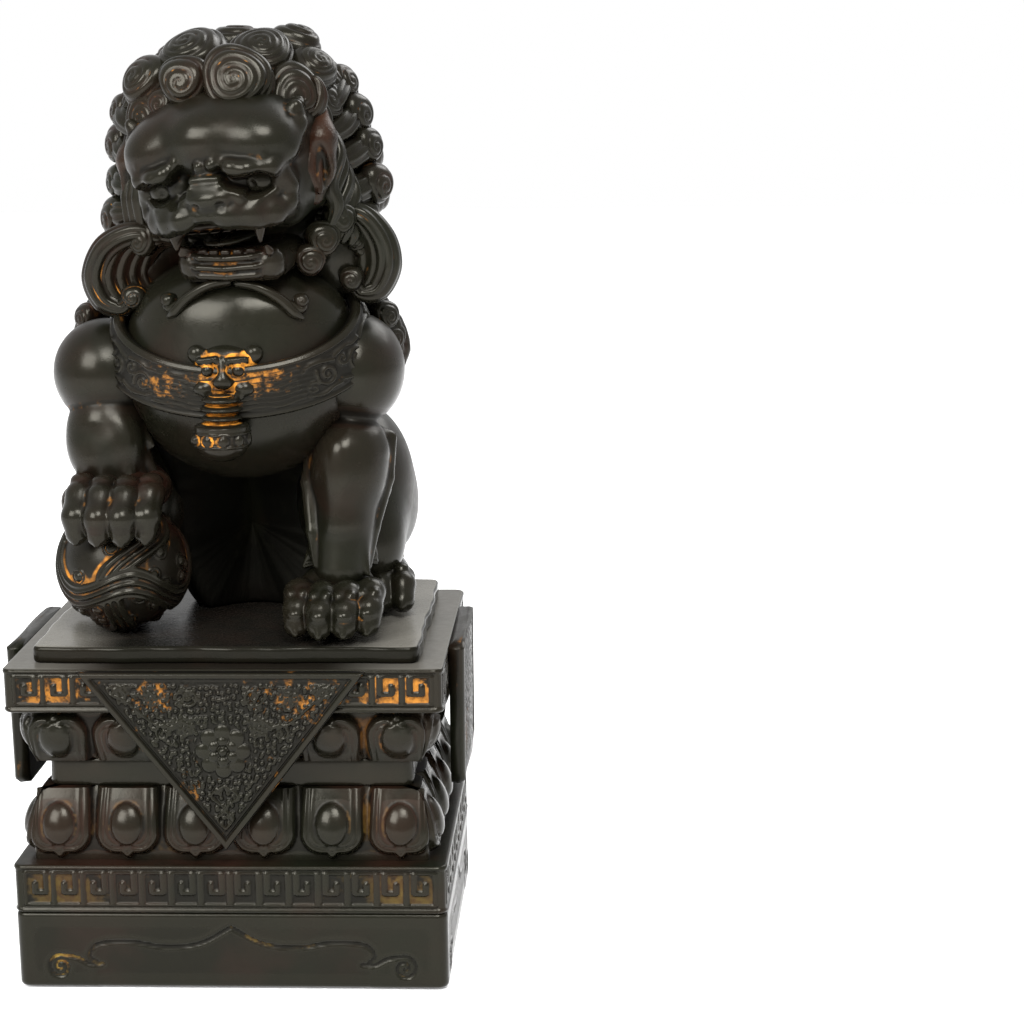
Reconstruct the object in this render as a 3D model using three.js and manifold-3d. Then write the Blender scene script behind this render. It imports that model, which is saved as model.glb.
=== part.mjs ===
// A seated guardian lion (foo dog) with one paw on a brocade ball, on a stepped lotus plinth.
// Millimetres, +Z up. The lion looks along -Y; its own right side is at -X.
// The origin is the middle of the resting face.
import * as THREE from 'three';
import { ConvexGeometry } from 'three/addons/geometries/ConvexGeometry.js';
import { mergeVertices } from 'three/addons/utils/BufferGeometryUtils.js';
import Module from 'manifold-3d';

const wasm = await Module();
wasm.setup();

// ---- Driving dimensions -------------------------------------------------

const gap = 0.3; // clearance between pieces that lie against each other
const ringShare = 0.6; // rings of a faceted ball for each of its sides

// Plinth: half widths along X, half depths along Y, and the height of each step
const blockHalf = [82.5, 62.5];
const waistHalf = [69.5, 50];
const lowerLotusFoot = [77, 58];
const lowerLotusHead = [73, 54];
const upperLotusFoot = [70, 50.5];
const upperLotusHead = [77.5, 58];
const slabHalf = [73, 55];
const blockCorner = 4; // rounding of the plinth's upright edges
const level = {
  pad: 1,
  foot: 31,
  lowerFret: 50,
  lowerLotus: 77.5,
  waist: 88.5,
  upperLotus: 110,
  cornice: 127,
  slab: 133.5,
};

const padRadius = 9;
const padInset = 16; // from the block's edges to a pad's centre
const padSides = 20;

// Altar cloths cast in relief: a triangle in front and behind, a rectangle on each side
const clothThickness = 3.5;
const clothHalfWidth = 54;
const clothTop = 126.5;
const clothTip = 57;
const sideClothThickness = 6.5;
const sideClothHalfWidth = 33;
const sideClothFoot = 72;

// Lotus petals on each long and each short side of a tier
const longSidePetals = 6;
const shortSidePetals = 5;
const petalReach = 3; // how far a petal's belly stands out of its tier
const petalHalfWidth = 0.44; // share of the pitch
const petalHalfHeight = 0.52; // share of the tier's height

// Lion
const ballRadius = 25.3;
const ballCentre = [-42, -27, level.slab + ballRadius];
const middleToes = 4; // how much further a forepaw's two middle toes reach
const chestCentre = [4, -12, 234];
const chestRadii = [46, 36, 44];
const collarThickness = 3;
const collarHeight = 18;
const collarTilt = 31; // degrees that the collar drops towards the chest
const collarCentre = [4, -8, 253];
const headCentre = [8, -12, 302];
const headTurn = -12; // degrees about Z: the lion looks towards its ball
const headTilt = -6; // degrees about Y: the crown leans towards the ball
const headNod = 8; // degrees that the face looks down
const eyeRadius = 6;

// ---- Finishes -----------------------------------------------------------

const resin = new THREE.MeshStandardMaterial({ color: 0x231d19, roughness: 0.42, metalness: 0 });
const rubbedResin = new THREE.MeshStandardMaterial({ color: 0x3a2a18, roughness: 0.5, metalness: 0 });
const paleResin = new THREE.MeshStandardMaterial({ color: 0x4a4036, roughness: 0.4, metalness: 0 });
const felt = new THREE.MeshStandardMaterial({ color: 0x1d2a1e, roughness: 1, metalness: 0 });

// ---- Shapes -------------------------------------------------------------

// Turns a closed three.js geometry into a solid that can be joined and cut.
function solid(geometry) {
  const bare = new THREE.BufferGeometry();
  bare.setAttribute('position', geometry.getAttribute('position'));
  if (geometry.index) bare.setIndex(geometry.index);
  const merged = mergeVertices(bare, 1e-4);
  const mesh = new wasm.Mesh({
    numProp: 3,
    vertProperties: new Float32Array(merged.attributes.position.array),
    triVerts: new Uint32Array(merged.index.array),
  });
  return new wasm.Manifold(mesh);
}

function join(solids) {
  return solids.reduce((all, next) => all.add(next));
}

const radians = THREE.MathUtils.degToRad;

// An ellipsoid, its long axes turned by the given degrees about X, Y and Z.
function egg(centre, radii, { grow = 0, turn = [0, 0, 0], sides = 10 } = {}) {
  const shape = new THREE.SphereGeometry(1, sides, Math.round(sides * ringShare));
  shape.rotateX(Math.PI / 2);
  shape.scale(radii[0] + grow, radii[1] + grow, radii[2] + grow);
  shape.applyMatrix4(new THREE.Matrix4().makeRotationFromEuler(new THREE.Euler(...turn.map(radians))));
  shape.translate(...centre);
  return solid(shape);
}

// A limb: a tight skin over each pair of neighbouring balls [x, y, z, radius].
function limb(balls, { grow = 0, sides = 6 } = {}) {
  const skins = [];
  for (let i = 0; i + 1 < balls.length; i++) {
    const points = [];
    for (const [x, y, z, radius] of [balls[i], balls[i + 1]]) {
      const ball = new THREE.SphereGeometry(radius + grow, sides, Math.round(sides * ringShare));
      const at = ball.getAttribute('position');
      for (let k = 0; k < at.count; k++) {
        points.push(new THREE.Vector3(at.getX(k) + x, at.getY(k) + y, at.getZ(k) + z));
      }
    }
    skins.push(solid(new ConvexGeometry(points)));
  }
  return join(skins);
}

function block(low, high) {
  const size = high.map((value, i) => value - low[i]);
  const box = new THREE.BoxGeometry(...size);
  box.translate(...low.map((value, i) => value + size[i] / 2));
  return solid(box);
}

// A plinth step: the hull of rounded rectangles, one for each [height, half width, half depth].
function step(rings, corner = blockCorner, cornerSteps = 2) {
  const points = [];
  for (const [z, halfX, halfY] of rings) {
    for (const [sx, sy] of [[1, 1], [-1, 1], [-1, -1], [1, -1]]) {
      for (let i = 0; i <= cornerSteps; i++) {
        const a = (Math.PI / 2) * (i / cornerSteps);
        const x = halfX - corner * (1 - Math.cos(a));
        const y = halfY - corner * (1 - Math.sin(a));
        points.push(new THREE.Vector3(sx * x, sy * y, z));
      }
    }
  }
  return solid(new ConvexGeometry(points));
}

// A lotus tier: a tapered step with a row of petal bellies round it.
function lotusTier(low, high, footHalf, headHalf) {
  const middle = (low + high) / 2;
  const half = footHalf.map((value, i) => (value + headHalf[i]) / 2);
  const petals = [];
  for (const [across, along, count] of [[0, 1, longSidePetals], [1, 0, shortSidePetals]]) {
    const pitch = (2 * half[across]) / count;
    for (let i = 0; i < count; i++) {
      for (const side of [-1, 1]) {
        const centre = [0, 0, middle];
        centre[across] = (i - (count - 1) / 2) * pitch;
        centre[along] = side * (half[along] - petalReach);
        const radii = [0, 0, (high - low) * petalHalfHeight];
        radii[across] = pitch * petalHalfWidth;
        radii[along] = 2 * petalReach;
        petals.push(egg(centre, radii, { sides: 6 }));
      }
    }
  }
  const core = step([[low, ...footHalf], [high, ...headHalf]]);
  const storey = block([-blockHalf[0], -blockHalf[1], low], [blockHalf[0], blockHalf[1], high]);
  return join([core, ...petals]).intersect(storey);
}

// An upright plate: an outline in X and Z given as points, laid flat against Y = face.
function frontPlate(outline, face, thickness) {
  const shape = new THREE.Shape(outline.map(([x, z]) => new THREE.Vector2(x, z)));
  const plate = new THREE.ExtrudeGeometry(shape, { depth: thickness, bevelEnabled: false });
  plate.rotateX(Math.PI / 2); // the outline stands up and the depth runs along -Y
  plate.translate(0, face, 0);
  return solid(plate);
}

// ---- Assembly -----------------------------------------------------------

const group = new THREE.Group();
const lion = []; // the swollen, uncut shape of each of the lion's pieces so far

function show(name, finish, body) {
  const { vertProperties, triVerts } = body.getMesh();
  const geometry = new THREE.BufferGeometry();
  geometry.setAttribute('position', new THREE.BufferAttribute(vertProperties, 3));
  geometry.setIndex(new THREE.BufferAttribute(triVerts, 1));
  geometry.computeVertexNormals();
  const mesh = new THREE.Mesh(geometry, finish);
  mesh.name = name;
  group.add(mesh);
}

// Adds a piece of the lion. shape(grow) gives its solid, swollen by grow.
// It stands on the slab, makes room for every piece added before it, and keeps its largest part.
const aboveSlab = block([-200, -200, level.slab], [200, 200, 500]);
function addToLion(name, finish, shape) {
  let body = shape(0).intersect(aboveSlab);
  for (const swollen of lion) body = body.subtract(swollen);
  const parts = body.decompose();
  const largest = parts.reduce((best, part) => (part.volume() > best.volume() ? part : best));
  lion.push(shape(gap));
  show(name, finish, largest);
}

// Plinth, from the floor up
for (const [side, sx] of [['left', 1], ['right', -1]]) {
  for (const [end, sy] of [['front', -1], ['back', 1]]) {
    const pad = new THREE.CylinderGeometry(padRadius, padRadius, level.pad, padSides);
    pad.rotateX(Math.PI / 2);
    pad.translate(sx * (blockHalf[0] - padInset), sy * (blockHalf[1] - padInset), level.pad / 2);
    show(`felt_pad_${end}_${side}`, felt, solid(pad));
  }
}
show('foot_tier', resin, step([[level.pad, ...blockHalf], [level.foot, ...blockHalf]]));
show('lower_fret_band', rubbedResin, step([[level.foot, ...blockHalf], [level.lowerFret, ...blockHalf]]));
show('lower_lotus_tier', rubbedResin,
  lotusTier(level.lowerFret, level.lowerLotus, lowerLotusFoot, lowerLotusHead));
show('waist_tier', resin, step([[level.lowerLotus, ...waistHalf], [level.waist, ...waistHalf]]));
show('upper_lotus_tier', rubbedResin,
  lotusTier(level.waist, level.upperLotus, upperLotusFoot, upperLotusHead));
show('cornice', rubbedResin, step([[level.upperLotus, ...blockHalf], [level.cornice, ...blockHalf]]));
show('lion_slab', paleResin, step([[level.cornice, ...slabHalf], [level.slab, ...slabHalf]]));

const triangle = [[-clothHalfWidth, clothTop], [0, clothTip], [clothHalfWidth, clothTop]];
show('front_cloth', rubbedResin, frontPlate(triangle, -blockHalf[1], clothThickness));
show('back_cloth', rubbedResin, frontPlate(triangle, blockHalf[1] + clothThickness, clothThickness));
for (const [side, sx] of [['left', 1], ['right', -1]]) {
  const inner = sx * blockHalf[0];
  const outer = sx * (blockHalf[0] + sideClothThickness);
  show(`${side}_cloth`, resin, block(
    [Math.min(inner, outer), -sideClothHalfWidth, sideClothFoot],
    [Math.max(inner, outer), sideClothHalfWidth, clothTop + 0.5]));
}

// Ball and forelegs
addToLion('ball', rubbedResin, (grow) => egg(ballCentre, Array(3).fill(ballRadius), { grow, sides: 16 }));

// Paw: a broad back of the foot with a row of toes in front of it
function paw(back, toes, grow) {
  return join([egg(back.centre, back.radii, { grow, turn: back.turn, sides: 10 }),
    ...toes.map((toe) => limb(toe, { grow, sides: 6 }))]);
}

addToLion('right_forepaw', rubbedResin, (grow) => paw(
  { centre: [-40, -26, 189], radii: [17.5, 15, 9.5], turn: [12, 0, 0] },
  [-52, -44, -35.5, -27.5].map((x, i) => {
    const reach = 47 + (i === 1 || i === 2 ? middleToes : 0);
    return [[x, -34, 191, 6], [x - 1, -reach + 2, 185, 5.5], [x - 1, -reach - 2, 174, 4]];
  }), grow));
addToLion('left_forepaw', resin, (grow) => paw(
  { centre: [40, -27, 145], radii: [15.5, 15, 12] },
  [26.5, 35.5, 44.5, 53].map((x, i) => {
    const reach = 42 + (i === 1 || i === 2 ? middleToes : 0);
    return [[x, -30, 145, 6], [x, -reach, 140, 6.5]];
  }), grow));
const rightForeleg = [
  [-47, -12, 233, 19], [-51, -19, 222, 15.5], [-47, -21, 205, 13.5], [-41, -24, 194, 11]];
const leftForeleg = [[47, -8, 234, 19], [47, -16, 207, 16.5], [42, -26, 174, 12.5], [40, -29, 155, 12]];
addToLion('right_foreleg', resin, (grow) => limb(rightForeleg, { grow, sides: 10 }));
addToLion('left_foreleg', resin, (grow) => limb(leftForeleg, { grow, sides: 10 }));

// Collar, mask and bell
addToLion('bell', rubbedResin, (grow) => join([
  egg([2, -51, 212.5], [10, 10, 9.5], { grow, sides: 12 }),
  limb([[2, -49, 218, 5], [2, -47, 226, 5]], { grow, sides: 8 })]));
addToLion('collar_mask', rubbedResin, (grow) => join([
  egg([3.5, -46, 236], [12, 7, 9.5], { grow, sides: 10 }),
  ...[-6, 13].map((x) => egg([x, -46, 243], [3.5, 4, 3.5], { grow, sides: 6 }))]));

// The collar is a band of a thicker chest, between two sloping planes.
function collarBand(grow) {
  const cut = new THREE.BoxGeometry(200, 200, collarHeight + 2 * grow);
  cut.rotateX(radians(collarTilt));
  cut.translate(...collarCentre);
  const outer = egg(chestCentre, chestRadii, { grow: collarThickness + grow, sides: 16 });
  const inner = egg(chestCentre, chestRadii, { grow: gap - grow, sides: 16 });
  return outer.intersect(solid(cut)).subtract(inner);
}
addToLion('collar', rubbedResin, collarBand);
addToLion('chest', resin, (grow) => egg(chestCentre, chestRadii, { grow, sides: 16 }));

// Hindquarters
for (const [side, sx] of [['left', 1], ['right', -1]]) {
  addToLion(`${side}_hind_paw`, resin, (grow) => paw(
    { centre: [sx * 53, 12, 143], radii: [11, 20, 12] },
    [-7, 0, 7].map((dx) => [[sx * (54 + dx), 2, 142, 5.5], [sx * (55 + dx), -7, 140, 5.5]]), grow));
  addToLion(`${side}_haunch`, resin, (grow) =>
    egg([sx * 42, 24, 178], [24.5, 31, 36], { grow, turn: [-18, 0, 0], sides: 16 }));
}
addToLion('tail', rubbedResin, (grow) => join([
  limb([[0, 52, 150, 6], [0, 54, 172, 8.5], [0, 51, 200, 8], [0, 46, 226, 4]], { grow }),
  ...[-1, 1].map((sx) => limb([[sx * 6, 54, 162, 6], [sx * 15, 51, 186, 5], [sx * 12, 49, 204, 3]],
    { grow, sides: 6 }))]));

// A piece of the head, given in the head's own axes and then turned with it.
const headPose = new THREE.Matrix4().makeRotationZ(radians(headTurn))
  .multiply(new THREE.Matrix4().makeRotationY(radians(headTilt)))
  .multiply(new THREE.Matrix4().makeRotationX(radians(headNod)))
  .setPosition(...headCentre);
const poseHead = (body) => body.transform(headPose.elements);

// Face
for (const [side, sx] of [['left', 1], ['right', -1]]) {
  addToLion(`${side}_eye`, resin, (grow) =>
    poseHead(egg([sx * 19, -31, 7], Array(3).fill(eyeRadius), { grow, sides: 10 })));
}
addToLion('tongue', resin, (grow) => poseHead(egg([0, -24, -13.5], [10, 13, 3], { grow, sides: 10 })));
const teethHalf = [16, 2, 1.6]; // half size of the bar that each row of teeth stands on
const canineLength = 4;
for (const [row, y, z, way] of [['upper', -40, -8.5, -1], ['lower', -34, -15, 1]]) {
  addToLion(`${row}_teeth`, resin, (grow) => {
    const half = teethHalf.map((value) => value + grow);
    const bar = block([-half[0], y - half[1], z - half[2]], [half[0], y + half[1], z + half[2]]);
    const canines = [-1, 1].map((sx) => sx * teethHalf[0]).map((x) => limb(
      [[x, y, z, 2.6], [x, y - 1, z + way * canineLength, 1.2]], { grow }));
    return poseHead(join([bar, ...canines]));
  });
}
addToLion('lower_jaw', resin, (grow) => poseHead(join([
  egg([0, -22, -22], [21, 22, 9], { grow }),
  block([-19 - grow, -38 - grow, -29 - grow], [19 + grow, -6 + grow, -17 + grow])])));
addToLion('head', resin, (grow) => poseHead(join([
  egg([0, 2, 4], [34, 38, 34], { grow, sides: 12 }),
  egg([0, -20, 19], [29, 22, 17], { grow, sides: 12 }), // forehead
  egg([0, -26, -2], [29, 24, 8.5], { grow, sides: 12 }), // upper lip
  egg([3, -43, 3], [10, 7, 5], { grow }), // nose
  ...[-1, 1].map((sx) => egg([sx * 19, -33, 15], [12, 9, 4.5], { grow, turn: [0, sx * -14, 0] })),
  ...[-1, 1].map((sx) => egg([sx * 24, -10, -14], [9, 18, 15], { grow }))]))); // jowls
for (const [side, sx] of [['left', 1], ['right', -1]]) {
  addToLion(`${side}_ear`, resin, (grow) => poseHead(
    limb([[sx * 33, -8, 14, 6], [sx * 39, -5, 22, 5], [sx * 41, -2, 30, 2.5]], { grow })));
  addToLion(`${side}_beard_curl`, resin, (grow) => poseHead(
    limb([[sx * 8, -36, -31, 3], [sx * 17, -36, -34, 3], [sx * 24, -34, -39, 4.5]], { grow })));
}

// Mane: each piece is a core with locks or curls standing out of it
const lockHeights = [338, 318, 298, 280, 265];
const lockTips = { left: [44, 51, 52, 53, 55], right: [-35, -37, -40, -44, -49] }; // each lock's X
for (const [side, middle] of [['left', 30], ['right', -22]]) {
  addToLion(`mane_${side}`, rubbedResin, (grow) => join([
    egg([middle, 6, 305], [23, 21, 44], { grow }),
    ...lockTips[side].map((x, i) => limb(
      [[x * 0.62, 10, lockHeights[i], 11], [x, 2, lockHeights[i], 8]], { grow }))]));
}
const curlRows = [
  { z: 349, radius: 13, count: 5, size: 9 },
  { z: 337, radius: 30, count: 9, size: 9.5 },
];
addToLion('mane_crown', rubbedResin, (grow) => join([
  egg([2, -4, 322], [36, 34, 28], { grow, sides: 12 }),
  egg([1, -4, 352], [10, 10, 9], { grow, sides: 8 }),
  ...curlRows.flatMap(({ z, radius, count, size }) => Array.from({ length: count }, (_, i) => {
    const a = (2 * Math.PI * i) / count;
    return egg([1 + radius * Math.sin(a), -4 - radius * Math.cos(a), z], Array(3).fill(size),
      { grow, sides: 6 });
  }))]));
addToLion('mane_back', rubbedResin, (grow) => join([
  egg([5, 22, 300], [42, 24, 46], { grow, sides: 12 }),
  ...[-30, -10, 12, 33].map((x) => limb([[x, 30, 275, 12], [x * 1.1 + 2, 40, 252, 8]], { grow }))]));

for (const [side, at, sx] of [['left', 6, 1], ['right', 0, -1]]) {
  addToLion(`${side}_neck_lock`, rubbedResin, (grow) => limb(
    [[at + sx * 40, -17, 288, 8], [at + sx * 47, -15, 270, 9], [at + sx * 48, -14, 257, 6]], { grow }));
  addToLion(`${side}_shoulder_lock`, rubbedResin, (grow) => limb(
    [[sx * 54, 8, 254, 8], [sx * 60, 14, 240, 8.5], [sx * 61, 16, 226, 6]], { grow }));
}

// Body last, so that it closes up against all the others
addToLion('torso', resin, (grow) => join([
  limb([[0, 4, 240, 40], [0, 22, 205, 38]], { grow, sides: 10 }),
  limb([[0, 22, 205, 38], [0, 24, 172, 33]], { grow, sides: 10 }),
  limb([[0, 24, 172, 33], [0, 22, 150, 28]], { grow, sides: 10 })]));

export default group;
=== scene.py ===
import bpy
import math
import numpy as np
from mathutils import Vector, Matrix


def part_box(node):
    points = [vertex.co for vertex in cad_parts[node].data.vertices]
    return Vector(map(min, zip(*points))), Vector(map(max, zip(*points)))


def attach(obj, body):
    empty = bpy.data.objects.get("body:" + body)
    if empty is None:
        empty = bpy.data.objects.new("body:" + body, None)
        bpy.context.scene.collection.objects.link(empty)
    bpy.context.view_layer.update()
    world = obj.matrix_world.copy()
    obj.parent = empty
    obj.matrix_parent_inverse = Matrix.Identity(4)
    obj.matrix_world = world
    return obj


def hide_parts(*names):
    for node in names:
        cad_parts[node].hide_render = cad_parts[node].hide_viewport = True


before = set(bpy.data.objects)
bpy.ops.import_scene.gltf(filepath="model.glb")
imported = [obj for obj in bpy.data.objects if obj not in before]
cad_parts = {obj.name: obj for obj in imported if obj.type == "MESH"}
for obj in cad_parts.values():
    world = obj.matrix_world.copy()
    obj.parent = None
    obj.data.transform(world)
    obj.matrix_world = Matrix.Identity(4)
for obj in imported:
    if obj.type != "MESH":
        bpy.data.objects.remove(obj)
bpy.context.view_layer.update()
mm = 0.001          # all shapes below are worked out in millimetres
fine = 0.7   # share of the full number of grid lines
print("frame loaded,", len(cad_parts), "nodes")


def spot(node):
    # a node's low corner, high corner and centre, in millimetres
    low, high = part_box(node)
    low, high = np.array(low) / mm, np.array(high) / mm
    return low, high, (low + high) / 2


def steps(count):
    # a number of grid lines, at the share asked for
    return max(6, int(round(count * fine)))


def unit(v):
    # each vector over its own length
    return v / np.maximum(np.linalg.norm(v, axis=-1, keepdims=True), 1e-9)


def smooth(edge0, edge1, x):
    # rises from 0 at edge0 to 1 at edge1 as 3t^2 - 2t^3
    t = np.clip((x - edge0) / (edge1 - edge0), 0, 1)
    return t * t * (3 - 2 * t)


def bump(x, width):
    # a round hill, 1 at x = 0 and 0 past the width: (1 - (x / width)^2)^2
    return np.clip(1 - (x / width) ** 2, 0, 1) ** 2


def halfRound(x):
    # a half circle, sqrt(1 - x^2), and 0 past x = 1
    return np.sqrt(np.clip(1 - x ** 2, 0, 1))


def aroundFrom(count):
    # so many even angles round a circle, in radians
    return np.arange(count) / count * 2 * np.pi


def turned(degX=0.0, degY=0.0, degZ=0.0):
    # the matrix of a turn about X, then Y, then Z
    turn = Matrix.Rotation(math.radians(degZ), 3, "Z") @ Matrix.Rotation(math.radians(degY), 3, "Y")
    return np.array(turn @ Matrix.Rotation(math.radians(degX), 3, "X"))


def blurGrid(P, reach):
    # the mean of each point's neighbours on the grid, reach steps each way, as two running sums
    for axis in (0, 1):
        closed = axis == 1
        pad = [(0, 0)] * P.ndim
        pad[axis] = (reach + 1, reach)
        Q = np.cumsum(np.pad(P, pad, mode="wrap" if closed else "edge"), axis=axis, dtype=float)
        n = P.shape[axis]
        hi = np.take(Q, np.arange(2 * reach + 1, 2 * reach + 1 + n), axis=axis)
        lo = np.take(Q, np.arange(0, n), axis=axis)
        P = (hi - lo) / (2 * reach + 1)
    return P


def gridNormals(P):
    # cross product of the two central differences, rows open and columns closed
    du = np.roll(P, -1, 1) - np.roll(P, 1, 1)
    dv = np.gradient(P, axis=0)
    n = unit(np.cross(du, dv))
    outward = P - P.mean((0, 1))
    return n if (n * outward).sum() > 0 else -n


def hollows(P, reach=5, depth=0.5):
    # how far each point lies under the mean of its neighbours, 1 at the given depth
    n = gridNormals(P)
    near = ((blurGrid(P, reach) - P) * n).sum(-1)
    far = ((blurGrid(P, reach * 3) - P) * n).sum(-1)
    return np.clip(near / depth + 0.35 * far / depth, -1, 1) * 0.5 + 0.5


def shell(P, recess=None):
    # one closed surface: a grid whose columns close round and whose end rows shrink to a pole
    rows, cols = P.shape[:2]
    recess = hollows(P) if recess is None else recess
    return {"P": P, "recess": np.broadcast_to(recess, (rows, cols))}


# where handling left most of the ochre: place in millimetres, reach, and how much
ochreSpots = np.array([
    (-46, -18, 270, 15, 1.0), (-38, -20, 268, 13, 1.2), (-39, -6, 304, 13, 0.9), (-41, -8, 292, 11, 0.9),
    (-9, -44, 343, 6, 0.8),
    (10, -46, 346, 8, 0.8), (21, -42, 338, 5, 0.6), (-24, -30, 333, 9, 0.7), (3, -50, 235, 11, 1.0),
    (2, -53, 221, 8, 1.0), (-1, -58, 212, 5, 0.9), (19, -47, 237, 11, 0.8), (-19, -45, 233, 9, 0.6),
    (52, -14, 287, 9, 0.8), (4, -42, 276, 14, 0.6), (-47, -46, 186, 5, 0.9), (-38, -47, 186, 6, 1.0),
    (-29, -46, 184, 6, 0.9), (-52, -50, 170, 7, 0.9), (-45, -50, 166, 8, 0.9), (-58, -45, 157, 9, 0.9),
    (-60, -42, 143, 7, 0.8), (-50, -48, 142, 6, 0.8), (-35, -50, 142, 5, 0.6), (54, -51, 149, 7, 0.8),
    (-28, -22, 198, 6, 0.7), (-64, -62, 118, 18, 0.7), (67, -62, 118, 17, 0.95), (-26, -66, 117, 9, 0.8),
    (18, -66, 119, 11, 0.5), (36, -66, 120, 11, 0.5), (29, -66, 112, 8, 0.4), (-13, -66, 79, 7, 0.6),
    (26, -66, 84, 8, 0.6), (-66, -62, 40, 15, 0.7), (67, -62, 40, 14, 0.85), (-66, -62, 10, 7, 0.7),
    (-30, -58, 99, 9, 0.5), (55, -58, 99, 12, 0.6), (-66, -58, 66, 9, 0.6), (-42, -58, 68, 9, 0.5),
    (27, -58, 66, 9, 0.4), (52, -58, 66, 9, 0.7), (40, -25, 318, 16, 0.35), (42, 8, 190, 18, 0.1)])


def ochreKept(P):
    # 0.15 everywhere, plus a round hill over each spot
    kept = np.full(len(P), 0.15)
    for x, y, z, reach, much in ochreSpots:
        kept += much * bump(np.linalg.norm(P - (x, y, z), axis=1), reach * 1.5)
    return np.clip(kept, 0, 1)


def shellFaces(s):
    # points, recess values and faces of one shell: rows of quads, and a fan of triangles (fourth
    # corner -1) at each pole, unless the rows close round too, as on the collar
    P, recess = s["P"], s["recess"]
    rows, cols = P.shape[:2]
    closed = s.get("ring", False)
    if closed:
        ring = np.arange(rows * cols).reshape(rows, cols)
        south, north = ring, np.roll(ring, -1, 0)
        points, values = P.reshape(-1, 3), recess.reshape(-1)
    else:
        ring = np.arange((rows - 2) * cols).reshape(rows - 2, cols)
        south, north = ring[:-1], ring[1:]
        points = np.concatenate([P[1:-1].reshape(-1, 3), [P[0].mean(0), P[-1].mean(0)]])
        values = np.concatenate([recess[1:-1].reshape(-1), [recess[0].mean(), recess[-1].mean()]])
    quads = np.stack([south, np.roll(south, -1, 1), np.roll(north, -1, 1), north], -1).reshape(-1, 4)
    fans = np.zeros((0, 4), int)
    if not closed:
        pole, none = ring.size * np.ones(cols, int), -np.ones(cols, int)
        fans = np.concatenate([np.stack([np.roll(ring[0], -1), ring[0], pole, none], -1),
                               np.stack([ring[-1], np.roll(ring[-1], -1), pole + 1, none], -1)])
    # the signed volume says whether the shell is inside out
    corners = np.concatenate([quads[:, :3], quads[:, [0, 2, 3]], fans[:, :3]])
    a, b, c = (points[corners[:, k]] for k in range(3))
    if (a * np.cross(b, c)).sum() < 0:
        quads, fans = quads[:, ::-1], fans[:, [1, 0, 2, 3]]
    return points, values, np.concatenate([quads, fans])


def nodeOf(name):
    # the frame's name for a piece: an underscore and a small letter for each capital
    return "".join("_" + c.lower() if c.isupper() else c for c in name)


def addPiece(name, shells, material):
    # joins closed shells into one mesh, with its two attributes, puts it under the root body and hides its node
    points, values, faces, base = [], [], [], 0
    for s in shells:
        shellPoints, shellValues, shellQuads = shellFaces(s)
        faces.append(np.where(shellQuads < 0, -1, shellQuads + base))
        points.append(shellPoints)
        values.append(shellValues)
        base += len(shellPoints)
    points, faces, values = np.concatenate(points), np.concatenate(faces), np.concatenate(values)
    mesh = bpy.data.meshes.new(name)
    corners = np.where(faces[:, 3] < 0, 3, 4)
    loops = faces[faces >= 0]
    mesh.vertices.add(len(points))
    mesh.vertices.foreach_set("co", (points * mm).astype(np.float32).ravel())
    mesh.loops.add(len(loops))
    mesh.loops.foreach_set("vertex_index", loops.astype(np.int32))
    mesh.polygons.add(len(faces))
    mesh.polygons.foreach_set("loop_start", np.concatenate([[0], np.cumsum(corners)[:-1]]).astype(np.int32))
    mesh.polygons.foreach_set("loop_total", corners.astype(np.int32))
    mesh.update(calc_edges=True)
    mesh.validate()
    mesh.polygons.foreach_set("use_smooth", np.ones(len(mesh.polygons), bool))
    for attribute, value in (("recess", values), ("ochre", ochreKept(points))):
        mesh.attributes.new(attribute, "FLOAT", "POINT").data.foreach_set("value", value.astype(np.float32))
    piece = bpy.data.objects.new(name, mesh)
    bpy.context.scene.collection.objects.link(piece)
    mesh.materials.append(material)
    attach(piece, "root")
    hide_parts(nodeOf(name))
    return piece


# the bodies are sculpted from eggs, bones and slabs; soft is the width of the join to what came before
def egg(centre, radii, soft=2.0, turn=(0, 0, 0)):
    # an ellipsoid
    return ("egg", np.array(centre, float), np.array(radii, float), soft, turned(*turn))


def bone(a, b, ra, rb=None, soft=2.0):
    # a capsule from a to b whose radius runs from ra to rb
    return ("bone", np.array(a, float), np.array(b, float), soft, (ra, ra if rb is None else rb))


def slab(centre, half, soft=2.0, turn=(0, 0, 0), corner=1.5):
    # a box with rounded edges
    return ("slab", np.array(centre, float), np.array(half, float), soft, (turned(*turn), corner))


def cut(shape):
    # the same shape, taken away
    return ("cut", shape)


def chain(points, radii, soft=2.0):
    # bones end to end through the points
    radii = np.broadcast_to(radii, len(points))
    return [bone(points[i], points[i + 1], radii[i], radii[i + 1], soft) for i in range(len(points) - 1)]


def mirrored(shapes):
    # the eggs and bones, and their mirror images across x = 0
    out = list(shapes)
    flip = np.array([-1, 1, 1])
    for s in shapes:
        inner, wrap = (s[1], cut) if s[0] == "cut" else (s, lambda x: x)
        kind, a, b, soft, extra = inner
        if kind == "egg":
            out.append(wrap((kind, a * flip, b, soft, np.diag(flip) @ extra @ np.diag(flip))))
        else:
            out.append(wrap((kind, a * flip, b * flip, soft, extra)))
    return out


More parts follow.
